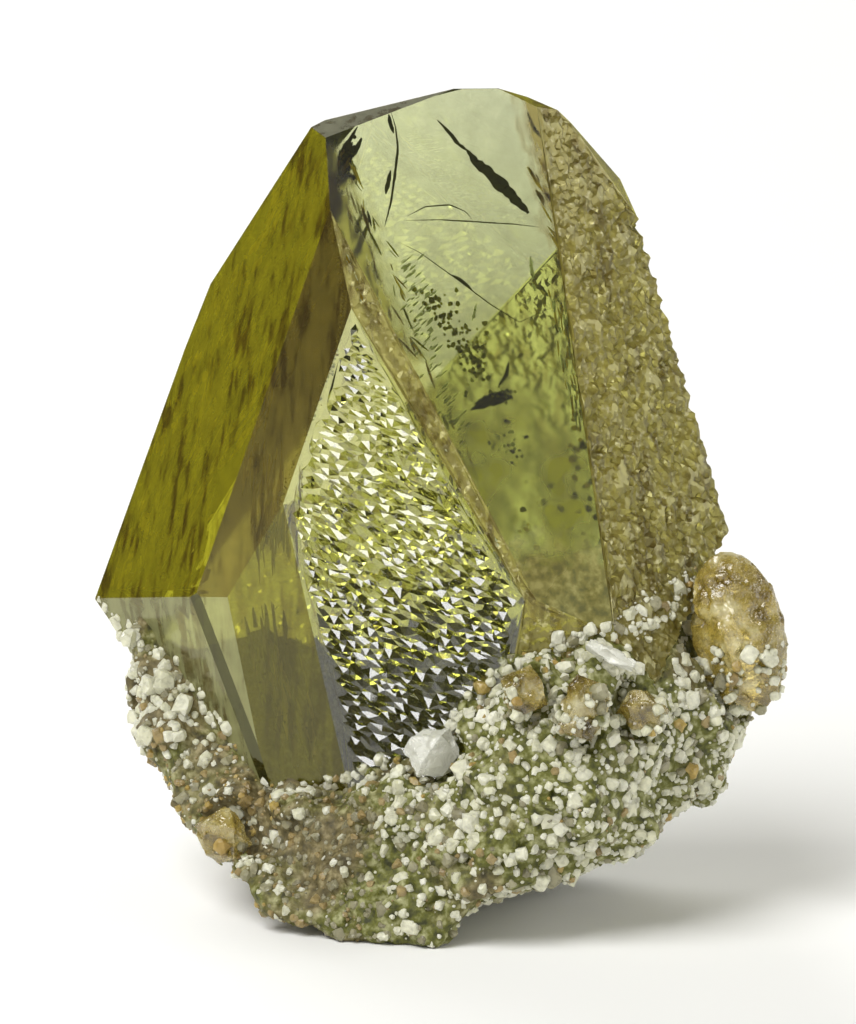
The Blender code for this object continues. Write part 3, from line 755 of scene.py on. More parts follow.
crystal_planes = [face_plane(name) for name in CRYSTAL_FACES]
cracks = Inclusions(31)
for line, half_width, under in (
    (((437, 121), (447, 131), (459, 146), (472, 155)), 2.0, 0.5),
    (((466, 150), (476, 163), (489, 174), (503, 188), (518, 203), (531, 217)), 6.0, 0.6),
    (((478, 162), (492, 178), (508, 193)), 3.4, 0.75),
    (((391, 113), (396, 130), (398, 150), (395, 178), (391, 205), (384, 232)), 1.3, 0.5),
    (((389, 116), (391, 127), (394, 135)), 2.4, 0.5),
    (((391, 172), (389, 182), (386, 196)), 2.6, 0.5),
    (((527, 112), (534, 128), (543, 141)), 1.6, 0.5),
    (((404, 222), (440, 221), (480, 223), (515, 225), (543, 228)), 0.7, 1.0),
    (((407, 218), (425, 208), (450, 206), (466, 213), (472, 221)), 0.7, 0.9),
    (((452, 276), (462, 282), (472, 291)), 1.6, 1.0),
    (((398, 243), (420, 254), (455, 279), (490, 305), (519, 323), (556, 306)), 0.6, 1.4),
    (((508, 363), (506, 376), (498, 387)), 2.0, 0.8),
    (((470, 411), (485, 404), (502, 399), (516, 396)), 4.5, 0.8),
    (((473, 405), (492, 396), (512, 391)), 2.6, 1.0),
):
    cracks.ribbon("window", line, half_width, under, DARK + (0.06 if half_width < 1 else 0.0), 4.0)
dice = cracks.dice
for _ in range(12):
    px, py = 346 + dice.gauss(0, 5.5), 168 + dice.gauss(0, 10)
    cracks.flake("window", px, py, dice.uniform(0.05, 0.13), dice.uniform(0.4, 0.9), DARK)
cracks.piece("inner_cracks", material)

CURTAIN_LEFT = ((338, 170), (346, 215), (358, 262), (378, 315), (405, 375), (436, 440), (462, 500))
CURTAIN_RIGHT = ((352, 160), (364, 200), (384, 232), (396, 275), (410, 320), (438, 395), (480, 470))
WEDGE_LEFT = ((520, 152), (532, 180), (538, 212), (550, 250), (566, 284))
WEDGE_RIGHT = ((545, 160), (562, 195), (572, 225), (580, 252), (584, 286))
CURTAIN_SHADES = ((OLIVE, BROWN, GOLD_AND_GLINT, PALE_AND_HIGHLIGHT, DARK), (46, 28, 18, 4, 4))
WEDGE_SHADES = ((OLIVE, BROWN, GOLD_AND_GLINT, DARK), (24, 42, 28, 6))
curtains = Inclusions(32)
dice = curtains.dice
for count, outer, inner, crowding, lengths, ways, shades, widths, depths in (
    (80, CURTAIN_LEFT, CURTAIN_RIGHT, 0.8, (8, 34), (68, 9), CURTAIN_SHADES,
     (0.5, 1.7), (0.3, 1.6)),
    (45, WEDGE_LEFT, WEDGE_RIGHT, 1.0, (8, 30), (64, 8), WEDGE_SHADES,
     (0.6, 2.4), (0.3, 1.3)),
):
    for _ in range(count):
        share, across = dice.random(), dice.random() ** crowding
        px, py = between(along(outer, share), along(inner, share), across)
        reach = dice.uniform(*lengths)
        way = math.radians(dice.gauss(*ways))
        line = ((px, py), (px + math.cos(way) * reach, py + math.sin(way) * reach))
        shade = dice.choices(*shades)[0]
        curtains.ribbon("window", line, dice.uniform(*widths), dice.uniform(*depths), shade, 8.0)

VEIL = ((408, 262), (416, 290), (420, 320), (424, 350), (434, 380), (448, 420), (470, 450))
for _ in range(110):
    px, py = along(VEIL, dice.random())
    px += dice.gauss(0, 7)
    reach = dice.uniform(3, 8)
    line = ((px, py), (px + reach, py - reach * 0.9))
    curtains.ribbon("window", line, dice.uniform(0.5, 1.3), dice.uniform(0.2, 0.8), PALE_AND_HIGHLIGHT, 4.0)
for line, half_width in (
    (((530, 257), (531, 268), (533, 283)), 2.0),
    (((532, 284), (535, 292)), 1.4),
    (((476, 305), (474, 314), (472, 322)), 1.2),
):
    curtains.ribbon("window", line, half_width, 0.5, PALE_AND_HIGHLIGHT, 3.0)

# Bright fibres at the right of the window, pale and gold: partly their own colour, partly painted
# glints.
FIBRE_ROWS = ((562, 290), (570, 330), (576, 375), (580, 420))
for _ in range(80):
    px, py = along(FIBRE_ROWS, dice.random())
    px += dice.gauss(-3, 6)
    reach = dice.uniform(6, 22)
    line = ((px, py), (px + dice.uniform(0, 4), py + reach))
    shade = dice.choices((PALE_AND_HIGHLIGHT, GOLD_AND_GLINT, OLIVE), (50, 36, 14))[0]
    curtains.ribbon("window", line, dice.uniform(0.5, 1.4), dice.uniform(0.15, 0.6), shade, 5.0)
curtains.piece("inner_curtains", material)

# Each cloud: the line it lies along, its spread, its flakes, their shades, depths and sizes
CLOUDS = (
    (((430, 300), (452, 322), (472, 348), (476, 378)), 8, 150, (OLIVE,), (0.6, 1.8), (0.04, 0.13)),
    (((470, 405), (492, 400), (512, 395)), 4, 40, (DARK, OLIVE), (0.6, 1.4), (0.04, 0.10)),
    (((500, 500), (540, 520), (566, 480)), 26, 16, (OLIVE, GOLD_AND_GLINT), (0.8, 3.2), (0.05, 0.16)),
    (((575, 330), (578, 420), (585, 500), (592, 560)), 7, 44, (OLIVE, GOLD_AND_GLINT),
     (0.6, 1.6), (0.06, 0.2)),
    (((522, 568), (556, 584), (598, 590)), 9, 110, (OLIVE, BROWN, GOLD_AND_GLINT), (0.12, 0.5), (0.07, 0.2)),
)
clouds = Inclusions(33)
dice = clouds.dice
for guide, spread, count, kinds, depths, sizes in CLOUDS:
    for _ in range(count):
        px, py = along(guide, dice.random())
        px, py = px + dice.gauss(0, spread), py + dice.gauss(0, spread)
        size = dice.uniform(*sizes)
        clouds.flake("window", px, py, size, dice.uniform(*depths), dice.choice(kinds))
for _ in range(26):
    px, py = dice.gauss(508, 12), dice.gauss(440, 12)
    clouds.flake("window", px, py, dice.uniform(0.05, 0.10), 0.5, dice.choice((DARK, PALE_AND_HIGHLIGHT)))
clouds.piece("inner_clouds", material)

LEFT_EDGE = ((318, 128), (262, 205), (205, 300), (160, 405), (122, 515), (104, 585))
LEFT_INNER = ((330, 215), (305, 290), (275, 370), (245, 450), (205, 530), (185, 590))
STEP_ROW = 590
glints = Inclusions(34)
dice = glints.dice
# Streaks under the left face in clumps of one shade: olive, brown and dark ones, and gold and pale
# ones that are painted glints.
for _ in range(70):
    share, across = dice.random(), dice.random()
    px, py = between(along(LEFT_EDGE, share), along(LEFT_INNER, share), across)
    shade = dice.choices((OLIVE, BROWN, GOLD_AND_GLINT, DARK, PALE_AND_HIGHLIGHT), (34, 20, 26, 12, 8))[0]
    way, under = math.radians(dice.gauss(114, 8)), dice.uniform(0.2, 1.6)
    for _ in range(dice.randint(3, 13)):
        reach = dice.uniform(8, 60)
        x, y = px + dice.gauss(0, 6), py + dice.gauss(0, 16)
        line = ((x, y), (x + math.cos(way) * reach, min(y + math.sin(way) * reach, STEP_ROW)))
        wide = dice.uniform(0.5, 2.0) if shade in (GOLD_AND_GLINT, PALE_AND_HIGHLIGHT) else dice.uniform(1.5, 5.5)
        glints.ribbon("left", line, wide, under + dice.uniform(-0.1, 0.3), shade, 8.0, 0.6)

# Spots of painted glints under the left face: short gold ribbons whose bright colour stands for
# yellow glints.
BRIGHT_SPOTS = (
    (244, 268, 9), (222, 300, 8), (262, 232, 7), (198, 362, 9), (160, 432, 10), (178, 404, 8),
    (130, 540, 10), (146, 512, 10), (120, 575, 8), (232, 332, 8), (283, 196, 7),
)
for px, py, count in BRIGHT_SPOTS:
    way = math.radians(dice.gauss(114, 6))
    for _ in range(count):
        reach = dice.uniform(4, 22)
        x, y = px + dice.gauss(0, 4), py + dice.gauss(0, 9)
        line = ((x, y), (x + math.cos(way) * reach, min(y + math.sin(way) * reach, STEP_ROW)))
        glints.ribbon("left", line, dice.uniform(0.8, 2.6), dice.uniform(0.05, 0.2), GOLD_AND_GLINT, 6.0, 0.6)

FOOT_STREAKS = ((262, 600), (272, 660), (290, 700), (305, 745))
SIDE_STREAKS = ((262, 440), (272, 470), (280, 500), (268, 540))
FOOT_STREAK_SHADES = ((BROWN, GOLD_AND_GLINT, OLIVE, DARK), (36, 16, 40, 8))
SIDE_STREAK_SHADES = ((BROWN, GOLD_AND_GLINT), (60, 40))
# Streaks under the honey foot and the brown side: brown, olive and dark ones, and gold ones that
# are partly painted glints.
for face, guide, count, spread, asides, drops, shades, widths, depths, ragged in (
    ("honey_foot", FOOT_STREAKS, 60, 12, (2, 12), (15, 60), FOOT_STREAK_SHADES,
     (0.8, 4.0), (0.2, 1.2), 0.5),
    ("brown_side", SIDE_STREAKS, 90, 10, (-6, 2), (12, 50), SIDE_STREAK_SHADES,
     (0.6, 2.4), (0.2, 0.9), 0.25),
):
    for _ in range(count):
        px, py = along(guide, dice.random())
        px += dice.gauss(0, spread)
        line = ((px, py), (px + dice.uniform(*asides), py + dice.uniform(*drops)))
        shade = dice.choices(*shades)[0]
        width, under = dice.uniform(*widths), dice.uniform(*depths)
        glints.ribbon(face, line, width, under, shade, 8.0, ragged)

# Tiny pale flakes along the edge of the etched face: partly white beads, partly painted highlight
# on the edge.
BEADED_EDGE = ((331, 228), (341, 262), (347, 300), (341, 338), (334, 370), (312, 425), (290, 480),
               (268, 540))
for _ in range(240):
    px, py = along(BEADED_EDGE, dice.random() ** 0.8)
    px, py = px + dice.gauss(-2, 1.6), py + dice.gauss(0, 2)
    shade = dice.choices((PALE_AND_HIGHLIGHT, GOLD_AND_GLINT, BROWN), (70, 12, 18))[0]
    glints.flake("brown_side", px, py, dice.uniform(0.02, 0.07), dice.uniform(0.04, 0.14), shade)

# A painted highlight along the ridge's edge: ribbons just under the ridge face, mostly pale, with
# some olive, brown and gold.
RIDGE_HIGHLIGHT_LINE = ((334, 226), (350, 268), (364, 310), (398, 372), (432, 432), (482, 514), (509, 582))
for _ in range(200):
    share = dice.random() * 0.95
    start, end = along(RIDGE_HIGHLIGHT_LINE, share), along(RIDGE_HIGHLIGHT_LINE, share + 0.05)
    move = dice.gauss(2, 1.8)
    line = ((start[0] + move, start[1]), (end[0] + move, end[1]))
    shade = dice.choices((PALE_AND_HIGHLIGHT, OLIVE, BROWN, GOLD_AND_GLINT), (52, 18, 20, 10))[0]
    glints.ribbon("ridge", line, dice.uniform(0.5, 1.8), dice.uniform(0.04, 0.16), shade, 5.0, 0.6)
glints.piece("inner_glints", material)

# The matrix: a piece of cleft rock of feldspar and chlorite, broken flat below. Its skin follows
# the rock's solid, closes up to the crystal that grew on it, and is pitted between the grains.
ROCK_VOXEL = 0.15
CRUMB_LUMPS = ((0.5, 0.9), (0.35, 0.35))
CRUMB_HEIGHT = 0.22
CRUMB_SINK = 0.25
HOLE_LUMP = 0.7
HOLE_PLACE = (31, 7, 3)
HOLE_SHARE = 0.28
HOLE_DEPTH = 0.9
CLEAR_OF_CRYSTAL = 0.12
FAR = 50.0
CONTACT_REACH = (0.50, 0.85)
CONTACT_DEPTH = 0.07
CONTACT_SPOTS = 1500
CONTACT_BAND = (-1.3, 0.10)
CONTACT_SHARE = 5e-8
KNOB_SPOTS = 20
KNOB_BARE = {"honey_titanite_right": 0.3}
SMALL_KNOB_BARE = -0.35
TAN_EDGE = (-7.0, 1.0)
CONTACT_LINE = (
    (-12.5, 11.5), (-10.3, 10.0), (-8.0, 7.1), (-6.3, 4.8), (-3.4, 5.2), (-0.5, 6.4), (2.3, 9.3),
    (5.5, 10.6), (9.0, 12.6), (12.5, 13.0),
)
ROCK_LOW = Vector(cad_box[0])
ROCK_HIGH = Vector(cad_box[1])


def front_of(point):
    """Where a point of the specimen lies in the front view, in millimetres: x, z and depth."""
    place = STANCE.inverted() @ point / MM
    return place.x, place.z, -place.y


def fine_copy(node, voxel):
    """A fine even skin of a solid of the model, as a new mesh."""
    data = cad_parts[node].data.copy()
    helper = bpy.data.objects.new("helper", data)
    bpy.context.collection.objects.link(helper)
    skin = helper.modifiers.new("skin", "REMESH")
    skin.mode = "VOXEL"
    skin.voxel_size = voxel * MM
    graph = bpy.context.evaluated_depsgraph_get()
    fine = bpy.data.meshes.new_from_object(helper.evaluated_get(graph))
    bpy.data.objects.remove(helper, do_unlink=True)
    bpy.data.meshes.remove(data)
    return fine


def add_piece(name, data, material):
    """A finished piece of the specimen."""
    data.name = name
    data.materials.clear()
    data.materials.append(material)
    piece = bpy.data.objects.new(name, data)
    bpy.context.collection.objects.link(piece)
    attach(piece, "root")
    return piece


data = fine_copy("matrix_rock", ROCK_VOXEL)
mesh = bmesh.new()
mesh.from_mesh(data)
mesh.normal_update()
moves = []
for vert in mesh.verts:
    near, away, _, distance = crystal_tree.find_nearest(vert.co)
    at = vert.co / MM
    crumb = sum(share * noise.noise(at / lump) for share, lump in CRUMB_LUMPS)
    hole = max(0.0, noise.noise(at / HOLE_LUMP + Vector(HOLE_PLACE)) - HOLE_SHARE)
    move = vert.normal * (CRUMB_HEIGHT * (crumb - CRUMB_SINK) - HOLE_DEPTH * hole) * MM
    reach = (CONTACT_REACH[1] - distance / MM) / (CONTACT_REACH[1] - CONTACT_REACH[0])
    grip = min(max(reach, 0.0), 1.0)
    moves.append(move.lerp(near - away * CONTACT_DEPTH * MM - vert.co, grip))
for vert, move in zip(mesh.verts, moves):
    vert.co += move
    vert.co.z = max(vert.co.z, 0.0)
mesh.normal_update()
rock_spots = []
for face in mesh.faces:
    middle = face.calc_center_median()
    place = STANCE.inverted() @ middle
    gap = max((place - point).dot(away) for point, away in crystal_planes) / MM
    if gap > CLEAR_OF_CRYSTAL and not (middle.z < 0.02 * MM and face.normal.z < -0.9):
        rock_spots.append((middle.copy(), face.normal.copy(), face.calc_area(), gap))
rock_tree = BVHTree.FromBMesh(mesh)
dice = random.Random(20)
for _ in range(CONTACT_SPOTS):
    x, z = along(CONTACT_LINE, dice.random())
    z += dice.uniform(*CONTACT_BAND)
    start = STANCE @ front_point(x + dice.uniform(-0.4, 0.4), z, FAR)
    place, away, _, _ = crystal_tree.ray_cast(start, LEAN @ Vector((0, 1, 0)))
    if place:
        rock_spots.append((place, away, CONTACT_SHARE, 0.0))
graph = bpy.context.evaluated_depsgraph_get()
for name in [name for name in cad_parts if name.startswith("honey")]:
    knob = BVHTree.FromObject(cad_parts[name], graph)
    centre = sum((Vector(corner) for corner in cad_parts[name].bound_box), Vector()) / 8
    bare = front_of(centre)[1] - KNOB_BARE.get(name, SMALL_KNOB_BARE)
    reach = max(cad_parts[name].dimensions)
    for _ in range(int(KNOB_SPOTS * (reach / MM) ** 2)):
        way = Vector([dice.gauss(0, 1) for _ in range(3)]).normalized()
        place, away, _, _ = knob.ray_cast(centre + way * reach, -way)
        if place and front_of(place)[1] < bare + 1.5 * noise.noise(place / MM / 1.2):
            rock_spots.append((place, away, CONTACT_SHARE, 0.0))
for face in mesh.faces:
    face.smooth = False
bmesh.ops.triangulate(mesh, faces=mesh.faces)
mesh.to_mesh(data)
mesh.free()

material, tree, shader = new_material("chlorite_rock")
where = add_node(tree, "TexCoord").outputs["Object"]
broad = grain_at(tree, where, 2.6)
fine = grain_at(tree, where, 0.35, 6.0)
green = ramp(tree, fine, ((0.32, (0.030, 0.032, 0.003)), (0.50, (0.12, 0.125, 0.012)),
                          (0.70, (0.40, 0.40, 0.20))))
tan = ramp(tree, fine, ((0.30, (0.05, 0.04, 0.012)), (0.52, (0.15, 0.12, 0.045)),
                        (0.72, (0.34, 0.29, 0.15))))
aside = times(tree, part_of(tree, where, "X"), 1.0 / MM)
spread = reckon(tree, "ADD", broad, fade(tree, aside, TAN_EDGE, 0.20, -0.04))
mixed = blend(tree, ramp(tree, spread, ((0.54, grey(0.0)), (0.68, grey(1.0)))), green, tan)
tree.links.new(mixed, shader.inputs["Base Color"])
tree.links.new(bump(tree, grain_at(tree, where, 0.16, 6.0), 0.10, 0.8), shader.inputs["Normal"])
shader.inputs["Roughness"].default_value = 0.62
rock = add_piece("matrix_rock_fine", data, material)
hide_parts("matrix_rock")

# The feldspar grains: angular white and greyish crystals of half a millimetre to a millimetre,
# grown side by side over the rock, tan in the lower left and dark green at their roots, partly
# chlorite and partly painted shade where they meet the rock.
WHITE, GREY, TAN, HONEY = 0.12, 0.37, 0.62, 0.87
SHADE_SPREAD = 0.09
ZONE_LUMP = 1.3
ZONE_FRAY = 1.6
GRAIN_REACH = 1.05
GRAIN_STRETCH = ((0.75, 1.15), (0.75, 1.0), (0.9, 1.3))
FELDSPAR_IOR = 1.53


def grain_shape(rounds):
    """The corners and triangles of a round ball."""
    ball = bmesh.new()
    bmesh.ops.create_icosphere(ball, subdivisions=rounds, radius=1.0)
    corners = np.array([vert.co[:] for vert in ball.verts])
    triangles = np.array([[vert.index for vert in face.verts] for face in ball.faces])
    ball.free()
    return corners, triangles


LARGE_GRAINS = (
    (500, 657, 0.42), (562, 668, 0.50), (150, 688, 0.50), (182, 706, 0.58), (163, 668, 0.36),
    (236, 812, 0.42), (398, 772, 0.38), (462, 768, 0.50), (484, 742, 0.40), (702, 602, 0.44),
    (672, 596, 0.38), (722, 640, 0.40), (610, 735, 0.45), (548, 742, 0.42), (690, 700, 0.46),
    (640, 780, 0.42), (470, 820, 0.44), (520, 850, 0.42), (590, 840, 0.40), (145, 735, 0.44),
    (205, 760, 0.42), (300, 812, 0.36), (384, 932, 0.30), (440, 902, 0.36), (270, 868, 0.32),
)


def rock_zone(x, z):
    """The grains at a place of the front view: their scale, how many grow, share of each kind."""
    x += ZONE_FRAY * noise.noise(Vector((x / ZONE_LUMP, z / ZONE_LUMP, 4.0)))
    z += ZONE_FRAY * noise.noise(Vector((x / ZONE_LUMP, z / ZONE_LUMP, 9.0)))
    if -6.0 < x < -2.0 and z < 5.0:
        return 0.80, 0.75, (0.14, 0.64, 0.22, 0.0)
    if x <= -6.0 and z < 6.5:
        return 0.85, 0.8, (0.35, 0.20, 0.28, 0.17)
    if x < -8.0:
        return 1.15, 1.0, (0.85, 0.10, 0.05, 0.0)
    if -2.2 < x < 2.8 and z < 3.4:
        return 0.95, 0.55, (0.56, 0.34, 0.10, 0.0)
    return 1.0, 1.0, (0.84, 0.10, 0.03, 0.03)


def kept_in(place, half):
    """A grain's place, moved so that the whole grain stays within the specimen's size."""
    reach = half * GRAIN_REACH * MM
    return Vector([min(max(place[axis], ROCK_LOW[axis] + reach), ROCK_HIGH[axis] - reach)
                   for axis in range(3)])


def scatter(count, sizes, spacing, tries, sink, dice, first=()):
    """Choose places for grains on the rock: place, way out, half size and kind."""
    weights = list(itertools.accumulate(spot[2] for spot in rock_spots))
    chosen = list(first)
    places = np.zeros((count, 3))
    reaches = np.zeros(count)
    for number, (place, _, half, _) in enumerate(first):
        places[number] = place
        reaches[number] = half
    for _ in range(tries):
        if len(chosen) >= count:
            break
        middle, away, _, gap = dice.choices(rock_spots, cum_weights=weights)[0]
        x, z, _ = front_of(middle)
        scale, keep, shares = rock_zone(x, z)
        if dice.random() > keep:
            continue
        half = sizes[0] + (sizes[1] - sizes[0]) * dice.random() ** 1.7
        half *= scale
        kind = dice.choices((WHITE, GREY, TAN, HONEY), shares)[0]
        place = kept_in(middle - away * half * sink * MM, half)
        used = len(chosen)
        apart = np.linalg.norm(places[:used] - np.array(place), axis=1) / MM
        if used and (apart < (reaches[:used] + half) * spacing).any():
            continue
        places[used] = place
        reaches[used] = half
        chosen.append((place, away, half, kind + dice.uniform(-SHADE_SPREAD, SHADE_SPREAD)))
    return chosen


def grain_mesh(name, chosen, rounds, flats, dice):
    """Angular grains at the chosen places, as one mesh with a shade and a root for each point; low
    roots get chlorite and painted shade.
    """
    corners, triangles = grain_shape(rounds)
    all_points, all_triangles, shades, roots = [], [], [], []
    for place, away, half, kind in chosen:
        spin = np.array(Euler([dice.uniform(0, math.tau) for _ in range(3)]).to_matrix())
        reach = np.full(len(corners), 1.0)
        for axis in range(3):
            for sign in (-1, 1):
                cut = dice.uniform(*flats)
                reach = np.minimum(reach, cut / np.maximum(corners[:, axis] * sign, 1e-6))
        for _ in range(3):
            lean = np.array([dice.gauss(0, 1) for _ in range(3)])
            lean /= np.linalg.norm(lean)
            reach = np.minimum(reach, dice.uniform(0.70, 0.92) / np.maximum(corners @ lean, 1e-6))
        stretch = np.array([dice.uniform(*ends) for ends in GRAIN_STRETCH])
        shape = (corners * reach[:, None] * stretch * half * MM) @ spin.T
        all_triangles.append(triangles + len(all_points) * len(corners))
        roots.append(np.clip(0.5 + shape @ np.array(away) / (2 * half * MM), 0, 1))
        shades.append(np.full(len(corners), kind))
        all_points.append(shape + np.array(place))
    data = bpy.data.meshes.new(name)
    data.from_pydata(np.concatenate(all_points), [], np.concatenate(all_triangles))
    for layer_name, values in (("shade", shades), ("root", roots)):
        layer = data.attributes.new(layer_name, "FLOAT", "POINT")
        layer.data.foreach_set("value", np.concatenate(values))
    return data


material, tree, shader = new_material("feldspar")
where = add_node(tree, "TexCoord").outputs["Object"]
shade = add_node(tree, "Attribute", attribute_name="shade").outputs["Fac"]
root = add_node(tree, "Attribute", attribute_name="root").outputs["Fac"]
cloud = grain_at(tree, where, 0.30, 4.0)
kinds = ramp(tree, shade, ((0.0, (0.78, 0.77, 0.62)), (0.24, (0.62, 0.61, 0.42)),
                           (0.28, (0.34, 0.32, 0.20)), (0.49, (0.20, 0.18, 0.10)),
                           (0.53, (0.34, 0.26, 0.11)), (0.74, (0.28, 0.20, 0.07)),
                           (0.78, (0.46, 0.34, 0.10)), (1.0, (0.34, 0.22, 0.05))))
clouded = blend(tree, 1.0, kinds, ramp(tree, cloud, ((0.35, grey(0.72)), (0.62, grey(1.0)))),
                "MULTIPLY")
# Dark green at the grains' roots: partly chlorite, partly painted shade where the grains meet the
# rock.
mottled = reckon(tree, "ADD", root, times(tree, cloud, 0.6))
root_chlorite_and_shade = blend(tree, ramp(tree, mottled, ((0.55, grey(1.0)), (0.86, grey(0.0)))),
               clouded, (0.11, 0.115, 0.022))
tree.links.new(root_chlorite_and_shade, shader.inputs["Base Color"])
tree.links.new(bump(tree, grain_at(tree, where, 0.12, 5.0), 0.05, 0.5), shader.inputs["Normal"])
tree.links.new(ramp(tree, cloud, ((0.35, grey(0.22)), (0.65, grey(0.50)))),
               shader.inputs["Roughness"])
shader.inputs["IOR"].default_value = FELDSPAR_IOR
shader.inputs["Subsurface Weight"].default_value = 0.25
shader.inputs["Subsurface Radius"].default_value = (0.0006, 0.0006, 0.0004)
shader.inputs["Subsurface Scale"].default_value = 1.0
dice = random.Random(21)
large = []
for px, py, half in LARGE_GRAINS:
    start = STANCE @ front_point((px - PX_AXIS) / PX_PER_MM, (PX_FOOT - py) / PX_PER_MM, FAR)
    place, away, _, _ = rock_tree.ray_cast(start, LEAN @ Vector((0, 1, 0)))
    if place:
        large.append((kept_in(place, half), away, half, WHITE + dice.uniform(-SHADE_SPREAD, 0.05)))
# Each kind: name, how many, sizes, spacing, tries, sinking, roundness, where its faces cut
for name, count, sizes, spacing, tries, sink, rounds, flats in (
    ("feldspar_grains", 2400, (0.22, 0.50), 0.42, 40000, 0.32, 2, (0.46, 0.72)),
    ("feldspar_small_grains", 2400, (0.15, 0.30), 0.50, 16000, 0.25, 2, (0.55, 0.78)),
    ("feldspar_crumbs", 4500, (0.06, 0.14), 0.9, 16000, 0.1, 1, (0.6, 0.8)),
):
    chosen = scatter(count, sizes, spacing, tries, sink, dice, large)
    add_piece(name, grain_mesh(name, chosen, rounds, flats, dice), material)
    large = ()

# The honey titanites: small stubby wedges of younger titanite, yellow brown and half clear, one
# of them a rounded knob at the right end of the rock. Growth steps and etching have dulled them.
HONEY_VOXEL = 0.07
HONEY_STEP = 0.16
HONEY_PIT = 0.35
STAIR_LUMP = (0.9, 0.9, 0.35)
STAIRS = 5
PIT_LUMP = 0.45
PIT_PLACE = (5, 9, 2)
PIT_SHARE = 0.15


def grown_skin(node, voxel, step, pit_depth):
    """A fine skin of a small crystal, let in by growth steps and etched pits."""
    data = fine_copy(node, voxel)
    mesh = bmesh.new()
    mesh.from_mesh(data)
    mesh.normal_update()
    for vert in mesh.verts:
        at = vert.co / MM
        lump = noise.noise(Vector([each / size for each, size in zip(at, STAIR_LUMP)]))
        stair = math.floor(lump * STAIRS) / STAIRS
        pit = max(0.0, noise.noise(at / PIT_LUMP + Vector(PIT_PLACE)) - PIT_SHARE)
        vert.co -= vert.normal * (step * (0.5 - 0.5 * stair) + pit_depth * pit) * MM
        vert.co.z = max(vert.co.z, 0.0)
    bmesh.ops.triangulate(mesh, faces=mesh.faces)
    for face in mesh.faces:
        face.smooth = False
    mesh.to_mesh(data)
    mesh.free()
    return data


material, tree, shader = new_material("honey_titanite")
where = add_node(tree, "TexCoord").outputs["Object"]
cloud = grain_at(tree, where, 0.9, 5.0)
tree.links.new(ramp(tree, cloud, ((0.30, (0.34, 0.22, 0.015)), (0.50, (0.62, 0.48, 0.10)),
                                  (0.68, (0.84, 0.76, 0.42)))), shader.inputs["Base Color"])
tree.links.new(ramp(tree, cloud, ((0.35, grey(0.85)), (0.70, grey(0.45)))),
               shader.inputs["Transmission Weight"])
tree.links.new(ramp(tree, grain_at(tree, where, 0.25), ((0.35, grey(0.08)), (0.70, grey(0.35)))),
               shader.inputs["Roughness"])
tree.links.new(bump(tree, grain_at(tree, where, 0.12, 4.0), 0.03, 0.5), shader.inputs["Normal"])
shader.inputs["IOR"].default_value = GLASS_IOR
for name in [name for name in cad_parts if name.startswith("honey")]:
    data = grown_skin(name, HONEY_VOXEL, HONEY_STEP, HONEY_PIT)
    crystal = add_piece(name + "_fine", data, material)
    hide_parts(name)

# The adularia: a clear white blade and a white block among the grains, cloudy feldspar that grew
# last. Their edges are blunt and their faces stepped.
ADULARIA_VOXEL = 0.05
ADULARIA_STEP = 0.10
ADULARIA_PIT = 0.22

material, tree, shader = new_material("adularia")
where = add_node(tree, "TexCoord").outputs["Object"]
cloud = grain_at(tree, where, 0.5, 4.0)
tree.links.new(ramp(tree, cloud, ((0.35, (0.78, 0.78, 0.68)), (0.65, (0.92, 0.92, 0.84)))),
               shader.inputs["Base Color"])
tree.links.new(ramp(tree, cloud, ((0.40, grey(0.15)), (0.70, grey(0.4)))),
               shader.inputs["Roughness"])
tree.links.new(bump(tree, grain_at(tree, where, 0.2, 4.0), 0.05, 0.4), shader.inputs["Normal"])
shader.inputs["IOR"].default_value = FELDSPAR_IOR
shader.inputs["Transmission Weight"].default_value = 0.3
for name in [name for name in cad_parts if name.startswith("adularia")]:
    data = grown_skin(name, ADULARIA_VOXEL, ADULARIA_STEP, ADULARIA_PIT)
    crystal = add_piece(name + "_fine", data, material)
    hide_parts(name)

# The studio: a plain pale table under a sky that is white along the horizon and dim overhead,
# with three soft round lamps, as for a specimen shot on white.
TABLE_SIZE = 0.6
CAMERA_DISTANCE = 500.0
VIEW_CENTRE = (-0.524, 14.51)
VIEW_HEIGHT = 35.80
SENSOR = 36.0
LAMP_DISTANCE = 0.60
LAMPS = (
    ("key_lamp", (-0.45, -0.45, 0.77), 0.35, 7.6),
    ("fill_lamp", (0.90, -0.05, 0.43), 0.25, 3.0),
    ("back_lamp", (-0.35, 0.85, 0.40), 0.30, 5.0),
)

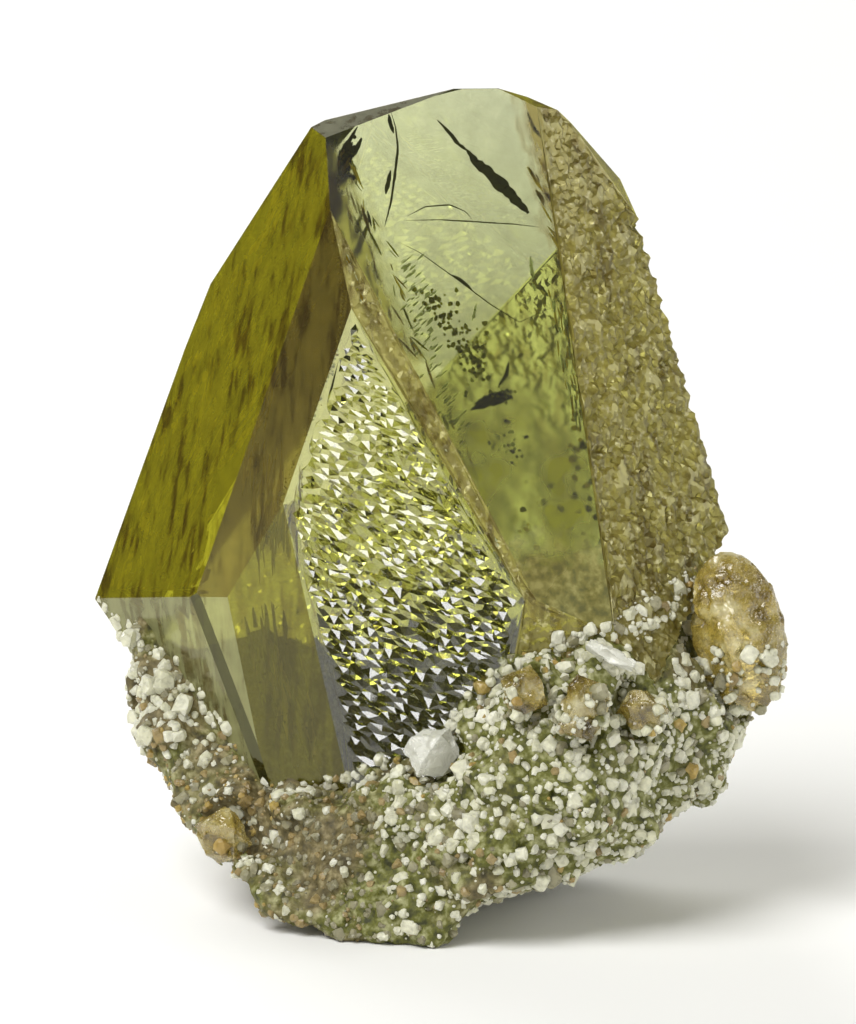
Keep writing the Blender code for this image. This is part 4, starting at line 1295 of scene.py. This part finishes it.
mesh = bmesh.new()
bmesh.ops.create_grid(mesh, x_segments=2, y_segments=2, size=TABLE_SIZE / 2)
data = bpy.data.meshes.new("table")
mesh.to_mesh(data)
mesh.free()
table = bpy.data.objects.new("table", data)
bpy.context.collection.objects.link(table)
material, tree, shader = new_material("table_paint")
shader.inputs["Base Color"].default_value = (0.93, 0.93, 0.92, 1.0)
shader.inputs["Roughness"].default_value = 0.8
data.materials.append(material)

world = bpy.data.worlds.new("studio")
world.use_nodes = True
tree = world.node_tree
way = add_node(tree, "TexCoord").outputs["Generated"]
height, aside = part_of(tree, way, "Z"), part_of(tree, way, "X")
sky = ramp(tree, height, ((0.0, grey(1.0)), (0.20, grey(1.0)), (0.57, (0.20, 0.19, 0.14)),
                          (1.0, (0.13, 0.125, 0.09))))
to_left = fade(tree, aside, (-0.80, -0.55), 0.08, 1.0)
sky = blend(tree, 1.0, sky, to_left, "MULTIPLY")
tree.links.new(sky, tree.nodes["Background"].inputs["Color"])
bpy.context.scene.world = world
bpy.context.scene.view_settings.view_transform = "Standard"

target = STANCE @ front_point(*VIEW_CENTRE, 0.0)
for name, way, reach, radiance in LAMPS:
    lamp = bpy.data.lights.new(name, "AREA")
    lamp.shape = "DISK"
    radius = math.tan(reach) * LAMP_DISTANCE
    lamp.size = 2 * radius
    lamp.energy = radiance * math.pi * math.pi * radius ** 2
    holder = bpy.data.objects.new(name, lamp)
    holder.location = target + Vector(way).normalized() * LAMP_DISTANCE
    holder.rotation_euler = (target - holder.location).to_track_quat("-Z", "Y").to_euler()
    bpy.context.collection.objects.link(holder)

lens = bpy.data.cameras.new("camera")
lens.sensor_width = SENSOR
lens.lens = SENSOR * CAMERA_DISTANCE / VIEW_HEIGHT
lens.clip_start = 0.01
camera = bpy.data.objects.new("camera", lens)
camera.location = STANCE @ front_point(*VIEW_CENTRE, CAMERA_DISTANCE)
camera.rotation_euler = (target - camera.location).to_track_quat("-Z", "Y").to_euler()
bpy.context.collection.objects.link(camera)
bpy.context.scene.camera = camera
